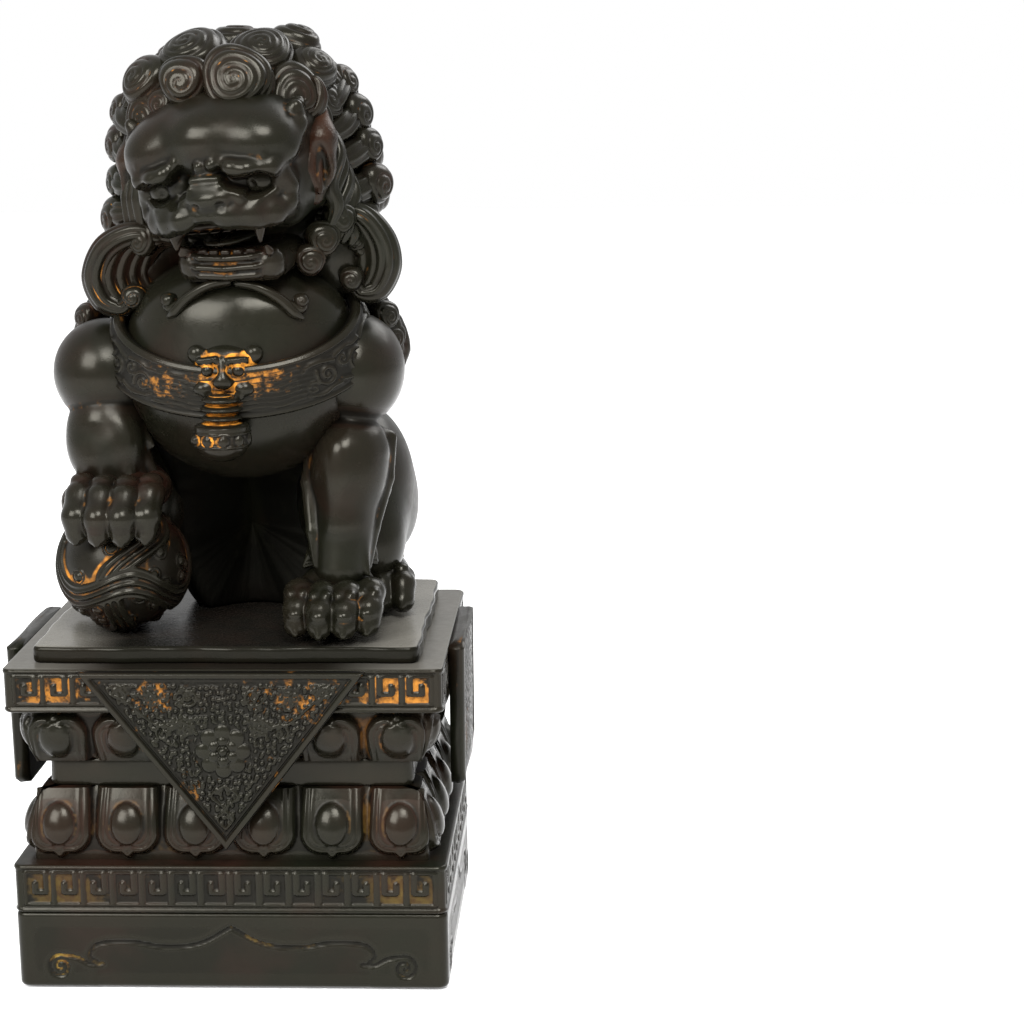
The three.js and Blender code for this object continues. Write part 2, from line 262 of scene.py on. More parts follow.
def shapeDistance(p, shape):
    # egg: k(k - 1) / |p / r^2| with k = |p / r|; bone: distance to a segment less a radius that
    # runs from ra to rb; slab: distance to a box less its rounding
    kind, a, b, soft, extra = shape
    if kind == "egg":
        q = (p - a) @ extra
        k = np.linalg.norm(q / b, axis=-1)
        return k * (k - 1) / np.maximum(np.linalg.norm(q / b ** 2, axis=-1), 1e-6)
    if kind == "bone":
        ab = b - a
        t = np.clip(((p - a) @ ab) / max(ab @ ab, 1e-9), 0, 1)
        return np.linalg.norm(p - a - t[..., None] * ab, axis=-1) - (extra[0] + t * (extra[1] - extra[0]))
    turn, corner = extra
    q = np.abs((p - a) @ turn) - b + corner
    return np.linalg.norm(np.maximum(q, 0), axis=-1) + np.minimum(q.max(-1), 0) - corner


def sculptDistance(p, shapes):
    # shapes in turn, each joined or cut with a soft minimum or maximum of its own width
    d = None
    for shape in shapes:
        cutting = shape[0] == "cut"
        inner = shape[1] if cutting else shape
        e, k = shapeDistance(p, inner), inner[3]
        if d is None:
            d = e
            continue
        if cutting:
            h = np.clip(0.5 - 0.5 * (d + e) / k, 0, 1)
            d = d * (1 - h) - e * h + k * h * (1 - h)
        else:
            h = np.clip(0.5 + 0.5 * (d - e) / k, 0, 1)
            d = d * (1 - h) + e * h - k * h * (1 - h)
    return d


def castSkin(shapes, start, end, around, along, reach, ends=0.35, spread=None):
    # rays leave a straight core: half-spheres of directions at its ends and rings between them.
    # Each ray walks in from the reach until the sculpted distance is zero.
    start, end = np.array(start, float), np.array(end, float)
    around, along = steps(around), steps(along)
    axis = end - start
    length = np.linalg.norm(axis)
    axis = axis / length if length > 1e-6 else np.array([1.0, 0, 0])
    side = unit(np.cross(axis, [0.0, 0.0, 1.0] if abs(axis[2]) < 0.9 else [0.0, 1.0, 0.0]))
    other = np.cross(axis, side)
    v = np.linspace(0, 1, along)
    share = ends if length > 1e-6 else 0.5
    polar = np.where(v < share, v / share * 90, np.where(v > 1 - share, 180 - (1 - v) / share * 90, 90))
    run = np.clip((v - share) / max(1 - 2 * share, 1e-6), 0, 1)
    u = np.arange(around) / around
    u = (u if spread is None else spread(u)) * 2 * np.pi
    th = np.radians(polar)[:, None]
    D = (-np.cos(th) * np.ones_like(u))[..., None] * axis + np.sin(th)[..., None] * (
        np.cos(u)[None, :, None] * side + np.sin(u)[None, :, None] * other)
    O = (start + run[:, None] * (end - start))[:, None, :] * np.ones((1, around, 1))
    O, D = O.reshape(-1, 3), D.reshape(-1, 3)
    t = np.full(len(O), float(reach))
    live = np.arange(len(O))
    for _ in range(70):
        d = sculptDistance(O[live] + t[live, None] * D[live], shapes)
        t[live] = np.maximum(t[live] - 0.8 * np.maximum(d, -1.0), 0.0)
        live = live[(np.abs(d) > 0.01) & (t[live] > 0)]
        if not len(live):
            break
    return (O + t[:, None] * D).reshape(along, around, 3)


class Wire:
    # a socket that takes + - * / and a few named steps, each adding its Math node
    def __init__(self, tree, socket):
        self.tree, self.socket = tree, socket

    def maths(self, operation, a, b=None, clamp=False):
        node = self.tree.nodes.new("ShaderNodeMath")
        node.operation, node.use_clamp = operation, clamp
        for i, value in enumerate([a, b]):
            if isinstance(value, Wire):
                self.tree.links.new(value.socket, node.inputs[i])
            elif value is not None:
                node.inputs[i].default_value = value
        return Wire(self.tree, node.outputs[0])

    def __add__(self, other): return self.maths("ADD", self, other)
    def __radd__(self, other): return self.maths("ADD", other, self)
    def __sub__(self, other): return self.maths("SUBTRACT", self, other)
    def __rsub__(self, other): return self.maths("SUBTRACT", other, self)
    def __mul__(self, other): return self.maths("MULTIPLY", self, other)
    def __rmul__(self, other): return self.maths("MULTIPLY", other, self)
    def clamped(self): return self.maths("ADD", self, 0.0, clamp=True)


class Finish:
    # one material: its tree, its Principled shader, and one method for any other node
    def __init__(self, name):
        self.material = bpy.data.materials.new(name)
        self.material.use_nodes = True
        self.tree = self.material.node_tree
        self.shader = self.tree.nodes["Principled BSDF"]
        self.place = self.node("ShaderNodeTexCoord", out="Object")

    def node(self, kind, settings=None, inputs=None, out=0):
        node = self.tree.nodes.new(kind)
        for key, value in (settings or {}).items():
            setattr(node, key, value)
        for key, value in (inputs or {}).items():
            if isinstance(value, Wire):
                self.tree.links.new(value.socket, node.inputs[key])
            else:
                node.inputs[key].default_value = value
        return Wire(self.tree, node.outputs[out])

    def noise(self, scale, detail=3.0, rough=0.55, stretch=None):
        where = self.place
        if stretch is not None:
            where = self.node("ShaderNodeMapping", None, {"Vector": where, "Scale": stretch})
        return self.node("ShaderNodeTexNoise", None,
                         {"Vector": where, "Scale": scale, "Detail": detail, "Roughness": rough}, 0)

    def band(self, value, low, high):
        # 0 below low, 1 above high, a smooth step between
        return self.node("ShaderNodeMapRange", {"interpolation_type": "SMOOTHSTEP"},
                         {"Value": value, "From Min": low, "From Max": high})

    def mix(self, factor, a, b):
        node = self.tree.nodes.new("ShaderNodeMix")
        node.data_type = "RGBA"
        for index, value in ((0, factor), (6, a), (7, b)):
            if isinstance(value, Wire):
                self.tree.links.new(value.socket, node.inputs[index])
            else:
                node.inputs[index].default_value = value if index == 0 else (*value, 1.0)
        return Wire(self.tree, node.outputs[2])

    def feed(self, **sockets):
        for key, value in sockets.items():
            socket = self.shader.inputs[key.replace("_", " ")]
            if isinstance(value, Wire):
                self.tree.links.new(value.socket, socket)
            else:
                socket.default_value = value


def resinFinish(name, look, topSheenAmount=0.0):
    # ebonised cast resin: dark ground with warm and olive tints, ochre held in the hollows where
    # a broad noise lets it stay, painted shade in the other hollows, rubbed high spots, a painted sheen on what
    # faces up, and casting grain
    f = Finish(name)
    hollow = f.node("ShaderNodeAttribute", {"attribute_name": "recess"}, out="Fac")
    broad, patch = f.noise(look["tintScale"], 3.0), f.noise(look["patchScale"], 4.0, 0.6)
    finer, grain = f.noise(320.0, 4.0, 0.6), f.noise(1400.0, 3.0, 0.6)
    warm = f.mix(f.band(broad, 0.42, 0.64), look["ground"], look["warm"])
    ground = f.mix(f.band(f.noise(look["tintScale"] * 0.7, 2.0), 0.5, 0.7) * 0.7, warm, look["olive"])
    hollowed = f.band(hollow + (finer - 0.5) * 0.25, look["hollowFrom"], look["hollowTo"])
    spots = f.node("ShaderNodeAttribute", {"attribute_name": "ochre"}, out="Fac")
    kept = f.band(patch + (finer - 0.5) * 0.45 + spots * 0.35, look["patchFrom"], look["patchTo"])
    gilt = (hollowed * kept * look["gilt"] * (0.10 + spots * 1.05)).clamped()
    heightUp = f.node("ShaderNodeSeparateXYZ", None, {"Vector": f.place}, "Z")
    bright = f.mix(f.band(heightUp, 0.085, 0.055) * 0.7, look["ochre"], look["verdant"])
    ochre = f.mix(f.band(finer, 0.3, 0.7), look["ochreDark"], bright)
    # painted shade: the hollows that keep no ochre are darkened towards near-black
    soot = f.mix(hollowed * (1 - kept) * 0.8, ground, look["soot"])
    rubbed = f.band(hollow, 0.42, 0.2) * look["rub"]
    worn = f.mix(rubbed, soot, look["worn"])
    bumpHeight = grain * 0.6 + finer * 0.8
    normal = f.node("ShaderNodeBump", None,
                    {"Height": bumpHeight, "Strength": look["bump"], "Distance": 0.0006}, "Normal")
    if topSheenAmount:      # painted sheen: what faces up is made pale, standing in for the reflection of the white surroundings, thickest at the ends; the middle, under the lion, keeps only a little, as painted shade
        normalOut = f.node("ShaderNodeNewGeometry", out="Normal")
        facing = f.node("ShaderNodeSeparateXYZ", None, {"Vector": normalOut}, "Z")
        across = f.node("ShaderNodeSeparateXYZ", None, {"Vector": f.place}, "X")
        away = f.node("ShaderNodeMath", {"operation": "ABSOLUTE"}, {0: across})
        away = f.band(away, paintedTopSheen["from"], paintedTopSheen["to"]) * (1 - paintedTopSheen["least"]) + paintedTopSheen["least"]
        worn = f.mix(f.band(facing, 0.75, 0.98) * (0.55 + broad * 0.6) * away * topSheenAmount, worn, paintedTopSheen["colour"])
    f.feed(Base_Color=f.mix(gilt, worn, ochre),
           Roughness=(look["roughness"] + (finer - 0.5) * 0.22 + gilt * 0.25 + hollowed * 0.12
                      - rubbed * 0.3).clamped(),
           Normal=normal)
    f.feed(Specular_IOR_Level=look["gloss"], Specular_Tint=(1.0, 0.95, 0.80, 1),
           Coat_Weight=look["coat"], Coat_Roughness=0.2)
    return f.material


# painted sheen on what faces up: distances in metres from the middle, the share left there as painted shade, and
# the colour
paintedTopSheen = {"from": 0.036, "to": 0.068, "least": 0.04, "colour": (0.115, 0.109, 0.094)}
resinLook = {"ground": (0.0030, 0.0029, 0.0016), "warm": (0.0064, 0.0038, 0.0024),
             "olive": (0.0040, 0.0048, 0.0026), "soot": (0.0009, 0.0008, 0.0006),
             "worn": (0.0068, 0.0065, 0.0042), "ochre": (0.34, 0.135, 0.018),
             "ochreDark": (0.085, 0.032, 0.006), "verdant": (0.13, 0.115, 0.022),
             "hollowFrom": 0.60, "hollowTo": 0.84, "patchFrom": 0.62, "patchTo": 0.76, "gilt": 0.85,
             "tintScale": 28.0, "patchScale": 60.0, "roughness": 0.36, "coat": 0.04, "rub": 0.5,
             "bump": 0.10, "gloss": 0.13}
plainResin = resinFinish("plainResin", resinLook)
rubbedResin = resinFinish("rubbedResin", {
    **resinLook, "ground": (0.0042, 0.0034, 0.0023), "warm": (0.0115, 0.0046, 0.0028),
    "patchFrom": 0.56, "patchTo": 0.70})
petalResin = resinFinish("petalResin", {**resinLook, "gilt": 0.22, "warm": (0.0120, 0.0052, 0.0032)})
clothResin = resinFinish("clothResin", {
    **resinLook, "ground": (0.0038, 0.0032, 0.0021), "patchFrom": 0.71, "patchTo": 0.88,
    "gilt": 0.75, "patchScale": 230.0, "hollowFrom": 0.25, "hollowTo": 0.60})
maskResin = resinFinish("maskResin", {
    **resinLook, "hollowFrom": 0.42, "hollowTo": 0.68, "gilt": 1.2, "ochre": (0.50, 0.20, 0.022),
    "patchScale": 130.0})
earResin = resinFinish("earResin", {
    **resinLook, "ground": (0.0046, 0.0030, 0.0021), "warm": (0.019, 0.0075, 0.0038),
    "worn": (0.012, 0.006, 0.004), "bump": 0.5, "tintScale": 90.0, "patchScale": 140.0})
# painted shade for the trunk between the legs: a darker hollow colour, little rubbing and no ochre
shadedBellyResin = resinFinish("shadedBellyResin", {
    **resinLook, "gloss": 0.05, "coat": 0.0, "gilt": 0.0, "roughness": 0.5,
    "soot": (0.0004, 0.0004, 0.0003), "rub": 0.2})
# the slab's ground is darker than the other resin: painted shade, for the shadow and dark reflection under the
# lion
shadedSlabResin = resinFinish("shadedSlabResin", {
    **resinLook, "ground": (0.0020, 0.0018, 0.0013), "warm": (0.0050, 0.0030, 0.0020),
    "gloss": 0.06, "roughness": 0.26}, topSheenAmount=1.0)
corniceResin = resinFinish("corniceResin", {
    **resinLook, "ground": (0.0048, 0.0038, 0.0026), "patchFrom": 0.66, "patchTo": 0.82,
    "gilt": 0.8, "patchScale": 170.0, "roughness": 0.34}, topSheenAmount=0.6)


def feltFinish():
    # dark green felt: fine noise, stretched upright, in the colour and the bump
    f = Finish("feltPad")
    fibre = f.noise(1500.0, 5.0, 0.7, (1, 1, 0.3))
    nap = f.node("ShaderNodeBump", None, {"Height": fibre, "Strength": 0.6, "Distance": 0.0004}, "Normal")
    f.feed(Base_Color=f.mix(fibre, (0.008, 0.018, 0.010), (0.03, 0.05, 0.03)), Roughness=0.95, Normal=nap)
    return f.material


felt = feltFinish()
print("materials ready")


def roundedRing(halfX, halfY, corner, count):
    # points and outward directions at even steps of arc length round a rounded rectangle, from the
    # back left corner round behind, by the right side, the front and the left side
    pts, nrm = [], []
    arc = np.linspace(0, np.pi / 2, 9)
    for cx, cy, a0 in ((1, 1, 0), (-1, 1, 90), (-1, -1, 180), (1, -1, 270)):
        a = arc + math.radians(a0)
        pts.append(np.stack([cx * (halfX - corner) + corner * np.cos(a),
                             cy * (halfY - corner) + corner * np.sin(a)], -1))
        nrm.append(np.stack([np.cos(a), np.sin(a)], -1))
    pts, nrm = np.concatenate(pts), np.concatenate(nrm)
    pts, nrm = np.vstack([pts, pts[:1]]), np.vstack([nrm, nrm[:1]])
    run = np.concatenate([[0], np.cumsum(np.linalg.norm(np.diff(pts, axis=0), axis=1))])
    s = np.arange(count) / count * run[-1]
    XY = np.stack([np.interp(s, run, pts[:, k]) for k in (0, 1)], -1)
    N = unit(np.stack([np.interp(s, run, nrm[:, k]) for k in (0, 1)], -1))
    return XY, N


def faceRun(XY, N, halfX, halfY):
    # for each point: the place along its own face, that face's half length, and 1 on front and back
    onLong = np.abs(N[:, 1]) >= np.abs(N[:, 0]) - 1e-6
    place = np.where(onLong, XY[:, 0] * np.sign(-N[:, 1] + 1e-9), XY[:, 1] * np.sign(N[:, 0] + 1e-9))
    return place, np.where(onLong, halfX, halfY), onLong


def bandShell(halfX, halfY, zs, offset, relief, corner=4.0, count=1100, depth=0.5):
    # a storey of the plinth: a rounded rectangle moved out by offset(z) and by the relief, closed
    # above and below by rings that shrink to the middle
    count = steps(count)
    XY, N = roundedRing(halfX, halfY, corner, count)
    place, half, onLong = faceRun(XY, N, halfX, halfY)
    Z = zs[:, None] * np.ones(count)
    out = offset(zs)[:, None] + relief(place[None, :] * np.ones_like(Z), Z, half[None, :], onLong[None, :])
    side = np.concatenate([XY[None] + out[..., None] * N[None], Z[..., None]], -1)
    shrink = np.array([0.0, 0.35, 0.7, 0.93, 0.985])
    low = side[:1] * np.array([1, 1, 0]) * shrink[:, None, None] + np.array([0, 0, zs[0]])
    high = side[-1:] * np.array([1, 1, 0]) * shrink[::-1][:, None, None] + np.array([0, 0, zs[-1]])
    P = np.concatenate([low, side, high])
    carved = hollows(P, 4, depth)
    carved[:6], carved[-6:] = 0.5, 0.5
    return shell(P, carved)


def edged(low, high, edge=1.0):
    # an offset that pulls the top and bottom edges in over a short rounding
    def offset(z):
        k = np.clip(np.minimum(z - low, high - z) / edge, 0, 1)
        return -edge * (1 - np.sqrt(1 - (1 - k) ** 2))
    return offset


def rowsFor(low, high, pitch):
    # even heights about a pitch apart, with three more close to each edge
    inner, close = np.linspace(low, high, max(4, int((high - low) / pitch * fine))), np.array([0.05, 0.15, 0.35])
    return np.sort(np.concatenate([inner, low + close, high - close]))


def lineDistance(x, z, points):
    # distance from each (x, z) to the nearest stretch of a line through the points
    best = np.full(np.broadcast(x, z).shape, 1e9)
    for (x0, z0), (x1, z1) in zip(points[:-1], points[1:]):
        dx, dz = x1 - x0, z1 - z0
        t = np.clip(((x - x0) * dx + (z - z0) * dz) / max(dx * dx + dz * dz, 1e-9), 0, 1)
        best = np.minimum(best, np.hypot(x - x0 - t * dx, z - z0 - t * dz))
    return best


def curvePoints(points, count):
    # a smooth line through the points (Catmull-Rom), as evenly spread samples
    p = np.asarray(points, float)
    p = np.vstack([2 * p[0] - p[1], p, 2 * p[-1] - p[-2]])
    t = np.linspace(0, len(p) - 3 - 1e-6, count)
    i = t.astype(int)
    f = (t - i)[:, None]
    a, b, c, d = p[i], p[i + 1], p[i + 2], p[i + 3]
    return 0.5 * (2 * b + (c - a) * f + (2 * a - 5 * b + 4 * c - d) * f ** 2 + (3 * b - a - 3 * c + d) * f ** 3)


def spiral(centre, radius, turns, startDeg, count=40, tight=0.15):
    # a flat spiral that winds in from its radius to tight times it
    t = np.linspace(0, 1, count)
    a = math.radians(startDeg) + t * turns * 2 * np.pi
    r = radius * (1 - (1 - tight) * t)
    return np.stack([centre[0] + r * np.cos(a), centre[1] + r * np.sin(a)], -1)


plinth = {"corner": 4.0, "keyPitch": 11.2, "keyLine": 0.92, "keyDepth": 1.3, "keyMargin": 2.5,
          "petalLift": 4.2, "petalsLong": 6, "petalsShort": 5, "petalRound": 8.5, "petalEdge": 3.4,
          "bossWidth": 6.2, "bossHeight": 8.0, "bossLift": 2.8}
# one unit of the meander, across 0 to 1 and up 0 to 1
keyLines = [[(0, 0), (1, 0), (1, 1)], [(0, 0), (0, 1), (0.74, 1), (0.74, 0.40), (0.37, 0.40), (0.37, 0.64)]]


def fretRelief(zLow, zHigh):
    # a sunk field with the meander standing in it: the depth times a step on the distance to its
    # lines, the units mirrored past the middle, and a small bead above and below
    tall = zHigh - zLow - 2 * plinth["keyMargin"]
    lines = [np.array(line) * [plinth["keyPitch"], tall] for line in keyLines]

    def relief(a, z, half, onLong):
        run = half - plinth["corner"]
        count = np.round(2 * run / plinth["keyPitch"])
        place = (a + run) / (2 * run / count)
        k = np.floor(place)
        x = np.where(k + 0.5 > count / 2, 1 - (place - k), place - k) * plinth["keyPitch"]
        y = z - zLow - plinth["keyMargin"]
        d = np.min([lineDistance(x, y, line) for line in lines], axis=0)
        end = run - np.abs(a)
        inside = smooth(-0.2, 0.5, y) * smooth(-0.2, 0.5, tall - y) * smooth(-1, 0.5, end)
        sunk = smooth(-1.4, -0.6, y) * smooth(-1.4, -0.6, tall - y) * smooth(-2, -0.6, end)
        line = smooth(plinth["keyLine"] + 0.40, plinth["keyLine"] - 0.15, d)
        bead = bump(y + 1.3, 0.9) + bump(y - tall - 1.3, 0.9)
        return plinth["keyDepth"] * (0.95 * line * inside - sunk) + 0.35 * bead
    return relief


def petalRelief(zLow, zHigh, up):
    # a row of petals: each a raised shield with round corners and a small point, a rim, a groove
    # and a boss, all worked out from the distance inside the shield's edge
    tall = zHigh - zLow

    def relief(a, z, half, onLong):
        pitch = 2 * half / np.where(onLong, plinth["petalsLong"], plinth["petalsShort"])
        x = ((a + half) / pitch - np.floor((a + half) / pitch) - 0.5) * 2          # -1 to 1 across the petal
        y = (z - zLow) / tall
        y = y if up else 1 - y                          # 0 at the root, 1 at the free end
        dx = (0.965 - 0.06 * (1 - y) ** 2 - np.abs(x)) * pitch / 2
        dy = (0.90 + 0.07 * bump(x, 0.17) - y) * tall   # the bump is the small point at the free end
        r = plinth["petalRound"]
        d = r - np.hypot(np.maximum(r - dx, 0), np.maximum(r - dy, 0))             # mm inside the edge
        body = halfRound(1 - np.clip(d / plinth["petalEdge"], 0, 1))
        rim = bump(d - 1.9, 1.2) + 0.6 * bump(d - 4.3, 0.9)
        boss = np.hypot(x * pitch / 2 / plinth["bossWidth"], (y - 0.46) * tall / plinth["bossHeight"])
        return plinth["petalLift"] * (body * (0.55 + 0.30 * halfRound(x / 1.08)) - 0.4) \
            + body * (0.45 * rim - 0.55 * bump(d - 3.2, 0.8) + plinth["bossLift"] * halfRound(boss))
    return relief


def apronRelief():
    # a shallow groove: a cusped arch with a scroll at each end, and the field under it sunk a little.
    # The places across are shares of the face's half length
    arch = np.array([(0, 25.5), (0.17, 19), (0.36, 17.5), (0.55, 19.5), (0.72, 18.5), (0.77, 14),
                     (0.74, 11.5)])
    scroll = np.array([(0.70, 10.5), (0.77, 10.5), (0.84, 13), (0.93, 14.0)])

    def relief(a, z, half, onLong):
        a, out = np.abs(a), 0
        for longSide, faceHalf in zip((True, False), spot("foot_tier")[1]):
            size = faceHalf * 0.86
            line = curvePoints(arch * [size, 1], 50)
            tail = np.vstack([curvePoints(scroll * [size, 1], 14),
                              spiral((size * 0.93, 9.2), 4.8, -1.6, 90, 34)])
            d = np.minimum(lineDistance(a, z, line), lineDistance(a, z, tail))
            field = np.interp(a, line[:, 0], line[:, 1], right=-5) - z
            under = smooth(-0.5, 0.5, field) * (a < size * 0.74)
            each = -0.9 * bump(d, 1.1) + 0.25 * bump(d - 1.5, 1.0) - 0.25 * under
            out = out + np.where(onLong == longSide, each, 0)
        return out
    return relief


def storey(name, material, pitch, offset, relief, **extra):
    # one band, as wide as its node, with rows about a pitch apart
    low, high, _ = spot(nodeOf(name))
    zLow, zHigh = low[2], high[2]
    band = bandShell(high[0], high[1], rowsFor(zLow, zHigh, pitch), offset(zLow, zHigh), relief(zLow, zHigh),
                     **extra)
    addPiece(name, [band], material)


def lotusSwell(lean):
    # an offset that leans and swells: lean * (0.5 - t) + 2.2 sin(pi t) - 4.2, t from 0 to 1 up the storey
    def offset(low, high):
        share = lambda z: (z - low) / (high - low)
        return lambda z: lean * (0.5 - share(z)) + 2.2 * np.sin(np.pi * share(z)) - 4.2
    return offset


def buildPlinth():
    # the six storeys from the floor up, the slab, and four felt pads, which are flat turned discs
    rounded = lambda edge: lambda low, high: edged(low, high, edge)
    plain = lambda low, high: lambda a, z, half, onLong: 0.12 * np.sin(a * 0.07 + z * 0.3)
    wavy = lambda low, high: lambda a, z, half, onLong: 0.35 * np.sin(a * 0.11) + 0.2 * np.sin(a * 0.31 + 1)
    petals = lambda up: lambda low, high: petalRelief(low, high, up)
    storey("footTier", plainResin, 0.55, rounded(1.6), lambda low, high: apronRelief())
    storey("lowerFretBand", petalResin, 0.4, rounded(0.8), fretRelief, depth=0.35)
    storey("cornice", corniceResin, 0.4, rounded(0.8), fretRelief, depth=0.35)
    storey("lowerLotusTier", petalResin, 0.42, lotusSwell(6.5), petals(False), depth=0.6)
    storey("upperLotusTier", petalResin, 0.42, lotusSwell(-4.5), petals(True), depth=0.6)
    storey("waistTier", plainResin, 0.8, rounded(1.2), plain, count=500)
    storey("lionSlab", shadedSlabResin, 0.5, rounded(1.5), wavy, count=600)
    a = aroundFrom(48)
    profile = [(0, 0), (0.6, 0), (0.97, 0), (1, 0.2), (1, 0.8), (0.97, 1), (0.6, 1), (0, 1)]
    for end in ("front", "back"):
        for side in ("left", "right"):
            name = f"feltPad_{end}_{side}"
            low, high, mid = spot(nodeOf(name))
            r = (high[0] - low[0]) / 2
            P = np.array([np.stack([mid[0] + q * r * np.cos(a), mid[1] + q * r * np.sin(a),
                                    np.full(48, low[2] + h * (high[2] - low[2]))], -1) for q, h in profile])
            addPiece(name, [shell(P, 0.5)], felt)
    print("plinth built")


buildPlinth()


cloth = {"pebble": 2.3, "flower": 10.5, "blossom": 4.6, "border": 4.0, "sidePebble": 2.6}


def pebbles(x, z, pitch, seed):
    # round grains on a shaken grid: height from the distance to the nearest grain's centre
    rng = np.random.default_rng(seed)
    jitter = rng.uniform(-0.33, 0.33, (64, 64, 2))
    size = rng.uniform(0.75, 1.1, (64, 64))
    gx, gz = np.floor(x / pitch).astype(int), np.floor(z / pitch).astype(int)
    best = np.full(x.shape, 9.0)
    for i in (-1, 0, 1):
        for k in (-1, 0, 1):
            j = jitter[(gx + i) % 64, (gz + k) % 64]
            r = size[(gx + i) % 64, (gz + k) % 64]
            d = np.hypot((gx + i + 0.5 + j[..., 0]) * pitch - x, (gz + k + 0.5 + j[..., 1]) * pitch - z) / r
            best = np.minimum(best, d)
    return halfRound(best / (pitch * 0.5))


def flowerHeight(x, z, radius):
    # eight round petals, six smaller inside them and a heart: each a cap sqrt(1 - (distance / r)^2)
    h = np.zeros(x.shape)
    for count, out, size, tall in ((8, 0.70, 0.31, 0.6), (6, 0.38, 0.22, 0.85), (1, 0.0, 0.20, 1.1)):
        for angle in aroundFrom(count) + (np.pi / 6 if count == 6 else 0):
            away = np.hypot(x - radius * out * np.cos(angle), z - radius * out * np.sin(angle))
            h = np.maximum(h, tall * halfRound(away / (radius * size)))
    return h


def clothRelief(x, z, tall, halfTop):
    # x across, z down from the top edge. The height is the larger of a pebbled ground, a vine (a
    # bump on the distance to its lines) and small blossoms, then a round flower, then the border
    edge = np.minimum(z, (halfTop * (1 - z / tall) - np.abs(x)) * tall / math.hypot(tall, halfTop))
    away, side = z - tall * 0.44, np.abs(x)
    stems = [curvePoints([(15, 18), (19, 21), (25, 20), (31, 15), (37, 10), (44, 8)], 40),
             spiral((22, 23.5), 3.8, 1.3, 200, 24), spiral((12, 9.5), 4.0, 1.4, 20, 24),
             spiral((38.5, 8.5), 3.3, 1.2, 120, 20),
             curvePoints([(0, 44), (5, 48), (0, 53), (3.0, 57), (0, 61)], 30)]
    vine = np.min([lineDistance(side, z, stem) for stem in stems], axis=0)
    blossoms = sum(flowerHeight(side - bx, z - bz, cloth["blossom"]) * (np.hypot(side - bx, z - bz) < 5)
                   for bx, bz in ((26, 9.5), (14, 21), (37, 5.5)))
    ground = 1.15 * pebbles(x + 200, z + 200, cloth["pebble"], 5)
    h = np.maximum(ground, np.maximum(1.35 * bump(vine, 1.15), 1.3 * blossoms))
    near = smooth(cloth["flower"] + 0.7, cloth["flower"] - 0.1, np.hypot(x, away))
    h = h * (1 - near) + near * 2.3 * flowerHeight(x, away, cloth["flower"])
    rim = 1.5 * smooth(0, 0.7, edge) * smooth(2.9, 2.2, edge) + 0.5 * bump(edge - 3.6, 0.8)
    return h * smooth(cloth["border"], cloth["border"] + 0.8, edge) + rim


def triangleCloth(name, sign):
    # a grid that narrows to the point below, its front carved and its back flat
    low, high, mid = spot(nodeOf(name))
    tall, halfTop = high[2] - low[2], (high[0] - low[0]) / 2
    face, back = (low[1], high[1]) if sign < 0 else (high[1], low[1])
    across, down = steps(330), steps(240)
    u = np.concatenate([np.linspace(-1, 1, across), np.linspace(1, -1, 24)[1:-1]])
    front = np.arange(len(u)) < across
    v = np.linspace(0, 0.996, down)
    halfW = halfTop * (1 - v)[:, None]
    X, Z = u[None] * halfW, (v * tall)[:, None] * np.ones_like(u)
    h = np.where(front[None], clothRelief(X, Z, tall, halfTop), 0)
    h = h * smooth(0, 0.02, 1 - np.abs(u))[None] * smooth(-0.3, 0.6, Z)
    skin = face + sign * (-2.0)
    Y = np.where(front[None], skin + sign * h, back)
    P = np.stack([X * sign + mid[0], Y, high[2] - Z], -1)
    top = P[0].mean(0) * np.ones((1, len(u), 3))
    half = (P[:1] + top) / 2
    tip = P[-1].mean(0) * np.ones((1, len(u), 3))
    carved = np.where(front[None], np.clip(1 - h / 1.1, 0, 1) * 0.9, 0.4)
    carved = np.concatenate([carved[:1], carved[:1], carved, carved[-1:]])
    addPiece(name, [shell(np.concatenate([top, half, P, tip]), carved)], clothResin)


def sideCloth(name, sign):
    # a plain hanging panel with a raised border, rounded lower corners and a soft wave
    low, high, mid = spot(nodeOf(name))
    halfY, tall = (high[1] - low[1]) / 2, high[2] - low[2]
    a = np.linspace(-1, 1, steps(120))
    u = np.concatenate([a, a[::-1][1:-1:4]])
    front = np.arange(len(u)) < len(a)
    v = np.linspace(0, 1, steps(90))
    lower = 1 - 0.10 * np.clip((v[:, None] - 0.86) / 0.14, 0, 1) ** 3
    Y, Z = u[None] * halfY * lower, (v * tall)[:, None] * np.ones_like(u)
    edge = np.minimum(halfY - np.abs(Y), np.minimum(Z + 3, tall - Z))
    h = 0.8 * smooth(0, 0.8, edge) * smooth(4, 3.2, edge) + 0.35 * np.sin(Y * 0.12 + Z * 0.02) \
        + 0.5 * pebbles(Y + 200, Z + 200, cloth["sidePebble"], 8) * smooth(4.6, 5.4, edge)
    h = h * smooth(0, 0.015, 1 - np.abs(u))[None]
    outer, inner = (high[0], low[0]) if sign > 0 else (low[0], high[0])
    X = np.where(front[None], outer + sign * (h - 1.4 - 1.2 * (1 - smooth(0, 2.5, edge))), inner)
    P = np.stack([X, Y + mid[1], high[2] - Z], -1)
    ends = [P[k].mean(0) * np.ones((1, len(u), 3)) for k in (0, -1)]
    carved = np.where(front[None], np.clip(1 - h, 0, 1) * 0.8, 0.4)
    carved = np.concatenate([carved[:1], carved[:1], carved, carved[-1:], carved[-1:]])
    P = np.concatenate([ends[0], (P[:1] + ends[0]) / 2, P, (P[-1:] + ends[1]) / 2, ends[1]])
    addPiece(name, [shell(P, carved)], plainResin)


triangleCloth("frontCloth", -1)
triangleCloth("backCloth", 1)
sideCloth("leftCloth", 1)
sideCloth("rightCloth", -1)
print("cloths built")


